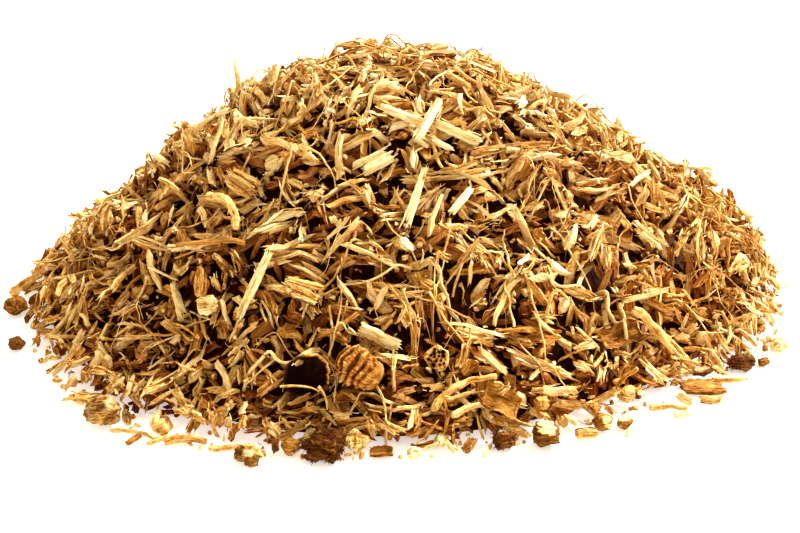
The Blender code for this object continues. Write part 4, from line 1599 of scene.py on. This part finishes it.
@dataclass
class RibbedSection(Single):
    """A short thick section of root: a barrel with uneven ribs round it, and painted shade in the grooves
    between them.
    """

    ribs: float = 6.5
    groove: float = 0.2
    rings: int = 84
    sides: int = 44

    def lofts(self, seat: Seat, rng: Draws) -> list[Loft]:
        """The barrel, with ribs by a sharpened sine of the way along that slow noise bends, and fading ones.

        Args:
            seat: Where the piece lies.
            rng: The seeded draws.

        Returns:
            The lofts.
        """
        pose = seat.pose
        length, width, thickness = pose.size[0]
        way = np.linspace(0.004, 0.996, self.rings)[:, None]
        turn = FULL_TURN * np.arange(self.sides)[None] / self.sides
        ball = np.stack([2 * way - 1 + 0 * turn, np.cos(turn) + 0 * way, np.sin(turn) + 0 * way], -1)
        wave = np.sin(FULL_TURN * self.ribs * (way + 0.04 * ripple(ball, 1.5, rng)))
        fade = np.clip(1.5 - 1.25 * way, 0.22, 1)
        gap = fade * np.clip(-wave - 0.1, 0, 1) ** 0.6
        relief = 0.3 * self.groove * fade * np.clip(wave, 0, 1) - self.groove * gap
        relief = relief + 0.06 * ripple(ball, 1.2, rng) + 0.045 * ripple(ball, 0.28, rng, 14)
        barrel = (1 - np.abs(2 * way - 1) ** 5) ** 0.4 * (0.84 + 0.12 * np.sin(math.pi * way)) * (1 + relief)
        across = (0.5 * width * barrel * np.cos(turn))[..., None] * pose.side[0]
        over = (0.5 * thickness * barrel * np.sin(turn))[..., None] * pose.up[0]
        points = pose.centre + ((way - 0.5) * length)[..., None] * pose.along[0] + across + over
        tint = self.tint.paint(turn[None] + 0 * way[None], np.zeros(1), rng)[0]
        # Painted shade: the tone follows the relief, darker in the grooves and paler on the ribs, and the
        # grooves get depth shade too.
        tint[..., 0] += 1.3 * relief
        tint[..., 3] = np.clip(1.5 * gap, 0, 1)
        girth = np.array([math.pi * width / MM])
        return [closed(points[None], tint[None], 0.1, pose, (way[:, 0] * length / MM)[None], girth, 0.0),
                self.fibres(seat, 5, rng)]


@dataclass
class PorousEnd(Single):
    """A stub of root whose cut end faces the front and is a pale net of deep pores, painted dark as shade."""

    pores: int = 15
    face: Triple = (-0.35, -0.9, 0.35)
    back: int = 14
    front: int = 34
    sides: int = 56
    sink: float = 0.42

    def lofts(self, seat: Seat, rng: Draws) -> list[Loft]:
        """The stub, round its axis: its side from the back to the rim, then the cut face in to the middle.

        The face sinks by a bell over each pore, and the pores lie on a spiral of golden turns.

        Args:
            seat: Where the piece lies.
            rng: The seeded draws.

        Returns:
            The lofts.
        """
        pose = seat.pose
        axis = unit(np.array(self.face))
        first = unit(np.cross(axis, [0.0, 0.0, 1.0]))
        second = np.cross(first, axis)
        radius = 0.27 * (pose.size[0, 1] + pose.size[0, 2])
        turn = FULL_TURN * np.arange(self.sides)[None] / self.sides
        reach = np.concatenate([np.sin(np.linspace(0.25, math.pi / 2, self.back)),
                                np.cos(np.linspace(0.1, 0.5 * math.pi, self.front))])[:, None]
        level = np.concatenate([np.linspace(-1.5, 0.42, self.back) * radius,
                                np.linspace(0.5, 0.44, self.front) * radius])[:, None]
        on_face = np.arange(self.back + self.front)[:, None] >= self.back + 2
        flat = np.stack([reach * np.cos(turn), reach * np.sin(turn), 0 * reach * turn], -1)
        wobble = 1 + 0.07 * ripple(unit(flat + np.array([0, 0, 0.3])), 1.2, rng)
        flat = flat * wobble[..., None]
        number = np.arange(self.pores)
        spiral = 0.8 * np.sqrt((number + 0.35) / self.pores)
        spots = np.stack([spiral * np.cos(number * GOLDEN), spiral * np.sin(number * GOLDEN)], -1)
        spots = spots + spread(rng, (-0.08, 0.08), spots.shape)
        size = spread(rng, (0.08, 0.2), self.pores)
        gap = np.linalg.norm(flat[:, :, None, :2] - spots, axis=-1) / size
        pore = np.exp(-(gap**4)).max(-1) * on_face
        level = level + 0 * turn - pore * self.sink * 2 * radius
        level = level + 0.05 * radius * ripple(flat, 0.25, rng, 12) * on_face
        points = pose.centre + level[..., None] * axis
        points = points + radius * (flat[..., :1] * first + flat[..., 1:2] * second)
        tint = self.tint.paint(turn[None] + 0 * reach[None], np.zeros(1), rng)[0]
        # Painted shade: the pores get a darker tone, bark colour and depth shade.
        tint[..., 0] = np.where(on_face, 0.52 - 0.5 * pore + 0.12 * ripple(flat, 0.4, rng), tint[..., 0])
        tint[..., 1] = np.where(on_face, pore * 0.9, tint[..., 1])
        tint[..., 2] = np.where(on_face, 0.2, tint[..., 2])
        tint[..., 3] = pore
        girth = np.array([FULL_TURN * radius / MM])
        run = (np.arange(self.back + self.front) * 0.25)[None]
        return [closed(points[None], tint[None], 0.0, replace(pose, along=axis[None]), run, girth, 0.0)]


@dataclass
class Shell(Single):
    """A piece of bark curled to a hollow, with a thin paler rim: painted shade makes it near black inside,
    and a painted highlight brightens the rim on the side towards the light.
    """

    face: Triple = (0.1, -0.8, 0.62)
    depth: float = 4.4 * MM
    # The side that faces the light, where the rim gets a painted highlight and stands higher.
    bright: Triple = (0.6, 0.5, 0.6)
    wall: float = 0.62 * MM
    sides: int = 54
    rings: int = 22

    def lofts(self, seat: Seat, rng: Draws) -> list[Loft]:
        """The outer side of a bowl from its middle out, over the rim, and back along its inner side.

        Args:
            seat: Where the piece lies.
            rng: The seeded draws.

        Returns:
            The lofts.
        """
        pose = seat.pose
        axis = unit(np.array(self.face))
        first = unit(pose.along[0] - pose.along[0] @ axis * axis)
        second = np.cross(axis, first)
        polar = np.linspace(0.06, math.pi / 2, self.rings)
        swing = np.concatenate([polar, polar[::-1]])[:, None]
        inner = np.repeat([0.0, 1.0], self.rings)[:, None]
        turn = FULL_TURN * np.arange(self.sides)[None] / self.sides
        half = 0.5 * pose.size[0, :2] - inner[..., None] * self.wall
        wide = np.sin(swing)
        ball = np.stack([wide * np.cos(turn), wide * np.sin(turn), -np.cos(swing) + 0 * turn], -1)
        bump = 1 + 0.07 * ripple(ball, 1.1, rng)
        bump = bump + 0.03 * ripple(ball * np.array([0.5, 2.0, 0.5]), 0.5, rng, 12)
        outward = np.cos(turn) * first[:, None, None] + np.sin(turn) * second[:, None, None]
        facing_light = np.tensordot(unit(np.array(self.bright)), outward, 1)
        edge = 0.5 * MM * ripple(np.stack([np.cos(turn), np.sin(turn), 0 * turn], -1), 1.0, rng)
        edge = edge + 1.8 * MM * (facing_light - 0.4)
        sink = (self.depth - inner * self.wall) * ball[..., 2] + edge * np.sin(swing) ** 6
        points = pose.centre + 0.3 * self.depth * axis + sink[..., None] * axis
        points = points + (half[..., 0] * ball[..., 0] * bump)[..., None] * first
        points = points + (half[..., 1] * ball[..., 1] * bump)[..., None] * second
        tint = self.tint.paint(turn[None] + 0 * swing[None], np.zeros(1), rng)[0]
        # The rim is paler, partly as the bark's edge and partly as a painted highlight on the side that faces
        # the light; below the rim the inside gets painted shade: a lower hue and full depth shade.
        rim = np.clip((swing - 1.36) / 0.2, 0, 1) * (1 - 0.5 * inner) * np.clip(0.3 + 0.9 * facing_light, 0, 1)
        tint[..., 0] = 0.1 + 0.6 * rim
        tint[..., 1] = 1 - 0.9 * rim
        tint[..., 2] = 0.3 * facing_light - 0.75 * inner * (1 - rim)
        tint[..., 3] = inner * (1 - rim)
        girth = np.array([math.pi * (half[0, 0, 0] + half[0, 0, 1]) / MM])
        run = (np.arange(2 * self.rings) * 0.35)[None]
        shell = closed(points[None], tint[None], 0.0, replace(pose, along=axis[None]), run, girth, 0.0)
        shell.pole_tint[..., 1] = 1.0
        return [shell, self.straws(pose, first, second, axis, rng)]

    def straws(self, pose: Poses, first: np.ndarray, second: np.ndarray, axis: np.ndarray,
               rng: Draws) -> Loft:
        """Bent thin straws that lie across the hollow's lower part, from rim to rim.

        Args:
            pose: Where the shell lies.
            first: A direction across the hollow.
            second: The direction square to it.
            axis: The way that the hollow faces.
            rng: The seeded draws.

        Returns:
            The lofted straws.
        """
        ends = np.array([(-1.25, -0.3, 0.35, -0.95), (0.35, -0.7, 0.5, -1.9), (0.75, 0.75, 1.05, -1.1)])
        ends = ends * 0.5 * np.tile(pose.size[0, :2], 2)
        way = np.linspace(0, 1, 12)[None, :, None]
        start = ends[:, None, :1] * first + ends[:, None, 1:2] * second
        stop = ends[:, None, 2:3] * first + ends[:, None, 3:] * second
        arc = 4 * way * (1 - way) * np.array([0.9, 0.5, 1.1])[:, None, None] * MM
        path = pose.centre + 0.55 * self.depth * axis + start * (1 - way) + stop * way
        path = path + arc * (first + 0.4 * second)
        radius = np.array([0.3, 0.36, 0.2])[:, None] * MM * (1 - 0.4 * way[..., 0])
        lean = np.repeat(axis[None], len(ends), 0)
        return tubes(path, radius, lean, 7, 0.14, GOLD_WOOD, np.zeros(len(ends)), rng)


@dataclass
class ForkedRoot(Single):
    """A root that splits in two: a thinner branch leaves the main root before its middle."""

    fork: float = 0.42
    angle: float = 0.42

    def lofts(self, seat: Seat, rng: Draws) -> list[Loft]:
        """The two roots, as tubes on arcs.

        Args:
            seat: Where the piece lies.
            rng: The seeded draws.

        Returns:
            The lofts.
        """
        pose = seat.pose
        length, width = pose.size[0, 0], pose.size[0, 1]
        radius = 1.05 * MM
        made = []
        for start, turn, size in ((0.0, 0.0, 1.0), (self.fork, -self.angle, 0.72)):
            way = np.linspace(0, 1, 26)[:, None]
            reach = (1 - start) * length * (0.97 if start else 1.0)
            heading = pose.along * math.cos(turn) + pose.side * math.sin(turn)
            across = -pose.along * math.sin(turn) + pose.side * math.cos(turn)
            arc = 4 * way * (1 - way)
            path = pose.centre + pose.along * (start - 0.5) * length + pose.side * 0.12 * width
            path = path + heading * way * reach + across * arc * 0.14 * width
            path = path + pose.up * 0.1 * MM * np.sin(9 * way)
            thick = size * radius * (1 - 0.4 * way[:, 0] + 0.06 * ripple(path, 4 * MM, rng))
            made.append(tubes(path[None], thick[None], pose.up, 12, 0.07, self.tint, np.zeros(1), rng))
        return made + [self.fibres(seat, 6, rng)]


@dataclass
class Tangle(Single):
    """A knot of thin rootlets that turn about a small lump."""

    rootlets: int = 9

    def lofts(self, seat: Seat, rng: Draws) -> list[Loft]:
        """Rootlets as arcs through the middle, and the lump under them.

        Args:
            seat: Where the piece lies.
            rng: The seeded draws.

        Returns:
            The lofts.
        """
        pose = seat.pose
        way = np.linspace(-1, 1, 22)[None, :, None]
        n = self.rootlets
        turn = spread(rng, (-0.8, 0.8), (n, 1, 1))
        heading = pose.along[:, None] * np.cos(turn) + pose.side[:, None] * np.sin(turn)
        across = pose.side[:, None] * np.cos(turn) - pose.along[:, None] * np.sin(turn)
        reach = spread(rng, (0.3, 0.48), (n, 1, 1)) * pose.size[0, 0]
        arc = spread(rng, (-0.35, 0.35), (n, 1, 1)) * (1 - way**2) + 0.08 * np.sin(5 * way + 6 * turn)
        lift = spread(rng, (0.0, 0.4), (n, 1, 1)) * pose.size[0, 2] - 0.25 * pose.size[0, 2] * way**2
        path = pose.centre[:, None] + heading * way * reach + across * arc * reach + pose.up[:, None] * lift
        radius = spread(rng, (0.2, 0.42), (n, 1)) * MM * (1 - 0.3 * np.abs(way[..., 0]))
        strands = tubes(path, radius, np.repeat(pose.up, n, 0), 7, 0.1, self.tint, np.zeros(n), rng)
        lump = replace(seat, pose=replace(pose, size=pose.size * np.array([[0.5, 0.6, 0.7]])))
        return [strands] + Lump(self.node, self.tint, crease=0.12, pit=0.06).lofts(lump, rng)


@dataclass
class Heap:
    """The mound of small shreds, on a near-black bed of painted shade that is seen only in the gaps."""

    mound: Mound
    edge: float = 0.945
    rings: int = 64
    sides: int = 170
    base: float = 0.05 * MM
    lowest: float = 0.2 * MM
    bed_shade_tint: tuple = (0.0, 1.0, -0.12, 1.0)
    pile: Pile = field(init=False)

    def __post_init__(self) -> None:
        """Starts the pile, with room kept for the single pieces."""
        self.pile = Pile(self.mound)
        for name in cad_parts:
            if name != "shred_heap":
                self.pile.keep_clear(node_triangles(name))
        self.pile.swell(np.random.default_rng(SEED - 1))

    def bed(self, finish: bpy.types.Material, rng: Draws) -> None:
        """Builds the bed: the mound's surface lowered by the bed's depth, roughened, over a flat underside.

        Args:
            finish: The material.
            rng: The seeded draws.
        """
        bearing = FULL_TURN * np.arange(self.sides) / self.sides
        share = np.concatenate([np.linspace(0.012, self.edge, self.rings), [self.edge]])[:, None]
        radius = share * self.mound.foot(bearing)
        x, y = radius * np.cos(bearing), radius * np.sin(bearing)
        z = np.maximum(self.mound.height(x, y) - self.pile.bed_depth, 0.3 * MM)
        place = np.stack([x, y, z], -1)
        z = z + np.minimum(z, 0.8 * MM) * 0.7 * ripple(place, 3.5 * MM, rng, 16)
        z = np.maximum(z, self.lowest)
        z[-1] = self.base
        points = np.stack([x, y, z], -1)[::-1][None]
        poles = np.array([[[0, 0, self.base], [0, 0, z[0].mean()]]])
        # Painted shade: the bed is near black and at full depth shade, standing for the shade in the gaps
        # between shreds.
        tint = np.zeros(points.shape[:3] + (4,)) + np.array(self.bed_shade_tint)
        run = np.linspace(self.mound.foot_radius / MM, 0, self.rings + 1)[None]
        loft = Loft(points, poles, tint, tint[:, [0, -1], 0], run, np.array([400.0]))
        obj = write_mesh("shred_bed", [loft], finish)
        hand_over(obj, "brown_bark", "shred_heap")

    def build(self, finish: bpy.types.Material, rng: Draws) -> None:
        """Lays and lofts every make of shred.

        Args:
            finish: The material.
            rng: The seeded draws.
        """
        self.bed(finish, rng)
        layers = [Layer(make) for make in MAKES + FOOT_MAKES]
        for layer in layers:
            layer.lay(self.pile, rng)
        for layer in layers:
            obj = write_mesh(layer.make.name, [layer.loft(self.pile, rng)], finish)
            hand_over(obj, layer.make.slot, "shred_heap")
        chips = [layer.poses for layer in layers if layer.make.cut is RAGGED and layer.make.over > 0]
        parts = zip(*((chip.centre, chip.along, chip.side, chip.up, chip.size) for chip in chips))
        poses = Poses(*(np.concatenate(part) for part in parts))
        frays = Frays()
        obj = write_mesh(frays.name, [frays.loft(poses, self.pile.depth(poses.centre), rng)], finish)
        hand_over(obj, "shred_mix", "shred_heap")
        for rootlets in (LaidRoots(), *ROOTLETS):
            obj = write_mesh(rootlets.name, [rootlets.loft(self.pile, rng)], finish)
            hand_over(obj, "gold_wood", "shred_heap")


CREAM = Tint(tone=(0.9, 1.0), barked=0.0, end_tone=0.0)
PALE_WOOD = Tint(tone=(0.72, 0.88), barked=0.25, bark=(0.3, 0.7))
GOLD_WOOD = Tint(tone=(0.5, 0.66), barked=0.5, bark=(0.3, 0.8))
GOLD_ROOT = Tint(tone=(0.5, 0.62), barked=1.0, bark=(0.25, 0.5), hue=(0.6, 1.0), end_tone=0.25)
BROWN_BARK = Tint(tone=(0.35, 0.5), barked=1.0, bark=(0.8, 1.0), hue=(0.35, 0.75), wrap=1.2)
TAN_BARK = Tint(tone=(0.45, 0.6), barked=1.0, bark=(0.7, 0.9), hue=(0.5, 0.7), wrap=0.8)
OLIVE_BARK = Tint(tone=(0.34, 0.42), barked=1.0, bark=(0.62, 0.72), hue=(0.16, 0.26), wrap=1.5, end_tone=0.0)
OLIVE_ROOT = Tint(tone=(0.46, 0.56), barked=1.0, bark=(0.42, 0.52), hue=(-0.1, 0.05), wrap=1.5, end_tone=0.0)
RIBBED_BARK = Tint(tone=(0.29, 0.36), barked=1.0, bark=(0.42, 0.5), hue=(0.5, 0.6), wrap=1.5, end_tone=0.0)
DARK_BARK = Tint(tone=(0.2, 0.3), barked=1.0, bark=(1.0, 1.0), hue=(0.0, 0.12), wrap=2.0, end_tone=0.0)

SINGLES: tuple[Single, ...] = (
    SplitChip("crossing_chip_left", CREAM, "pale_wood", strips=4, frayed=20, slim=0.72),
    SplitChip("crossing_chip_right", CREAM, "pale_wood", strips=3, frayed=18, slim=0.7),
    SplitChip("crossing_chip_middle", CREAM, "pale_wood", strips=3, frayed=18, slim=0.75),
    SplitChip("crumpled_pale_chip", CREAM, "pale_wood", strips=5, parting=0.16, lag=0.4),
    ForkedRoot("forked_root", PALE_WOOD, "pale_wood"),
    Lump("yellow_block", PALE_WOOD, "pale_wood", square=0.6, cuts=((0, 0, 1, 0.6), (1, 0.4, 0, 0.7))),
    SplitChip("layered_splinter", GOLD_WOOD, strips=6, lag=0.35, parting=0.09, frayed=18),
    SplitChip("pale_split_chip", CREAM, "pale_wood", strips=3, lag=0.3, parting=0.05, frayed=8, slim=0.58),
    SplitChip("short_pale_bar", CREAM, "pale_wood", strips=2, lag=0.1, frayed=4),
    RootLength("bent_thick_rootlet", GOLD_ROOT, shoots=3),
    SplitChip("pale_stick_left", PALE_WOOD, "pale_wood", strips=2, lag=0.25, parting=0.1),
    Lump("crumpled_lump_left", PALE_WOOD, "pale_wood", crease=0.16, pit=0.05),
    SplitChip("long_split_left", PALE_WOOD, "pale_wood", strips=3, lag=0.15, parting=0.02, frayed=12),
    SplitChip("flat_bright_chip", GOLD_WOOD, strips=5, lag=0.4, parting=0.1, frayed=14),
    Flake("dark_bark_curl", BROWN_BARK, "brown_bark", curl=0.3),
    RootLength("parallel_root_upper", GOLD_ROOT),
    RootLength("parallel_root_lower", GOLD_ROOT),
    SplitChip("curled_chip", PALE_WOOD, "pale_wood", strips=2, lag=0.1, parting=0.03),
    PorousEnd("porous_root_end", GOLD_ROOT, heading=28),
    Shell("bark_shell", DARK_BARK, "dark_bark", heading=16),
    RibbedSection("ribbed_root_section", RIBBED_BARK, "brown_bark", heading=-46),
    RootLength("curved_root_front", GOLD_ROOT, shoots=4),
    Flake("dark_bark_plate", BROWN_BARK, "brown_bark", curl=0.2),
    RootLength("stick_far_left", GOLD_ROOT, knobs=0.14, shoots=3),
    Lump("root_lump_left", BROWN_BARK, "brown_bark", crease=0.09, pit=0.05),
    Lump("bark_crumb_left", DARK_BARK, "dark_bark", crease=0.12, pit=0.05),
    Tangle("rootlet_tangle", GOLD_ROOT, "brown_bark"),
    Lump("root_section_left", OLIVE_ROOT, "brown_bark", -7, crease=0.075, pit=0.045, rings=34, sides=40),
    SplitChip("square_cut_chunk", GOLD_WOOD, strips=3, lag=0.12, parting=0.04),
    RootLength("bent_rootlet_left", GOLD_ROOT, shoots=1),
    SplitChip("dark_splinter", BROWN_BARK, "brown_bark", strips=2),
    SplitChip("pale_splinter_left", GOLD_WOOD, strips=2),
    RootLength("cut_stick_front_left", GOLD_ROOT, shoots=1),
    RootLength("thin_stick_front", GOLD_ROOT, shoots=1),
    Lump("pale_lump_front_left", GOLD_WOOD, "pale_wood", crease=0.16, pit=0.07, square=0.7),
    Lump("brown_root_ball", BROWN_BARK, "brown_bark", crease=0.08, pit=0.05),
    Lump("dark_woolly_nodule", DARK_BARK, "dark_bark", crease=0.17, pit=0.12, fuzz=800),
    Lump("pale_knuckle", GOLD_WOOD, "pale_wood", crease=0.15, pit=0.07),
    Flake("flat_brown_chip", BROWN_BARK, "brown_bark"),
    Lump("pale_crumb", PALE_WOOD, "pale_wood", crease=0.12, square=0.6),
    SplitChip("red_splinter_bundle", BROWN_BARK, "brown_bark", strips=4, lag=0.4, parting=0.12),
    SplitChip("pale_needle", PALE_WOOD, "pale_wood", strips=2),
    Lump("dark_lump_right", DARK_BARK, "dark_bark", crease=0.1, pit=0.06, fuzz=160),
    Lump("round_nodule_right", OLIVE_BARK, crease=0.08, pit=0.05, cuts=((0.0, -0.25, 1, 0.66),)),
    SplitChip("wedge_chip", GOLD_WOOD, strips=3, lag=0.15),
    Lump("rounded_lump_right", TAN_BARK, crease=0.1, pit=0.04, cuts=((0.2, -0.8, 0.5, 0.7),)),
    Lump("pink_block", TAN_BARK, "brown_bark", crease=0.06, square=0.5, cuts=((0, 0, 1, 0.7),)),
    SplitChip("pale_fibre_chip", PALE_WOOD, "pale_wood", strips=2, parting=0.1),
    RootLength("dark_tipped_root", GOLD_ROOT, shoots=1),
    SplitChip("pale_chip_right", PALE_WOOD, "pale_wood", strips=2),
    SplitChip("standing_chip_right", PALE_WOOD, "pale_wood", strips=2),
    Flake("flat_bark_chip", TAN_BARK, "brown_bark", curl=0.08, plate=1.3),
    SplitChip("pale_block_right", GOLD_WOOD, strips=2, lag=0.08),
    RootLength("thin_stick_right", GOLD_ROOT, shoots=0),
    Lump("dark_nodule_right", DARK_BARK, "dark_bark", crease=0.09, pit=0.06, fuzz=200),
    Lump("brown_crumb_right", BROWN_BARK, "brown_bark", crease=0.1, square=0.6),
    Lump("pale_lump_far_right", PALE_WOOD, "pale_wood", crease=0.12, pit=0.05),
)


def main() -> None:
    """Builds the studio and the heap."""
    logging.basicConfig(level=logging.INFO, format="%(message)s")
    Studio().build()
    finish = Finish("dried_root").make()
    heap = Heap(Mound())
    heap.build(finish, np.random.default_rng(SEED))
    for number, single in enumerate(SINGLES):
        single.build(heap.mound, finish, np.random.default_rng(SEED + 1 + number))


if __name__ == "__main__":
    main()
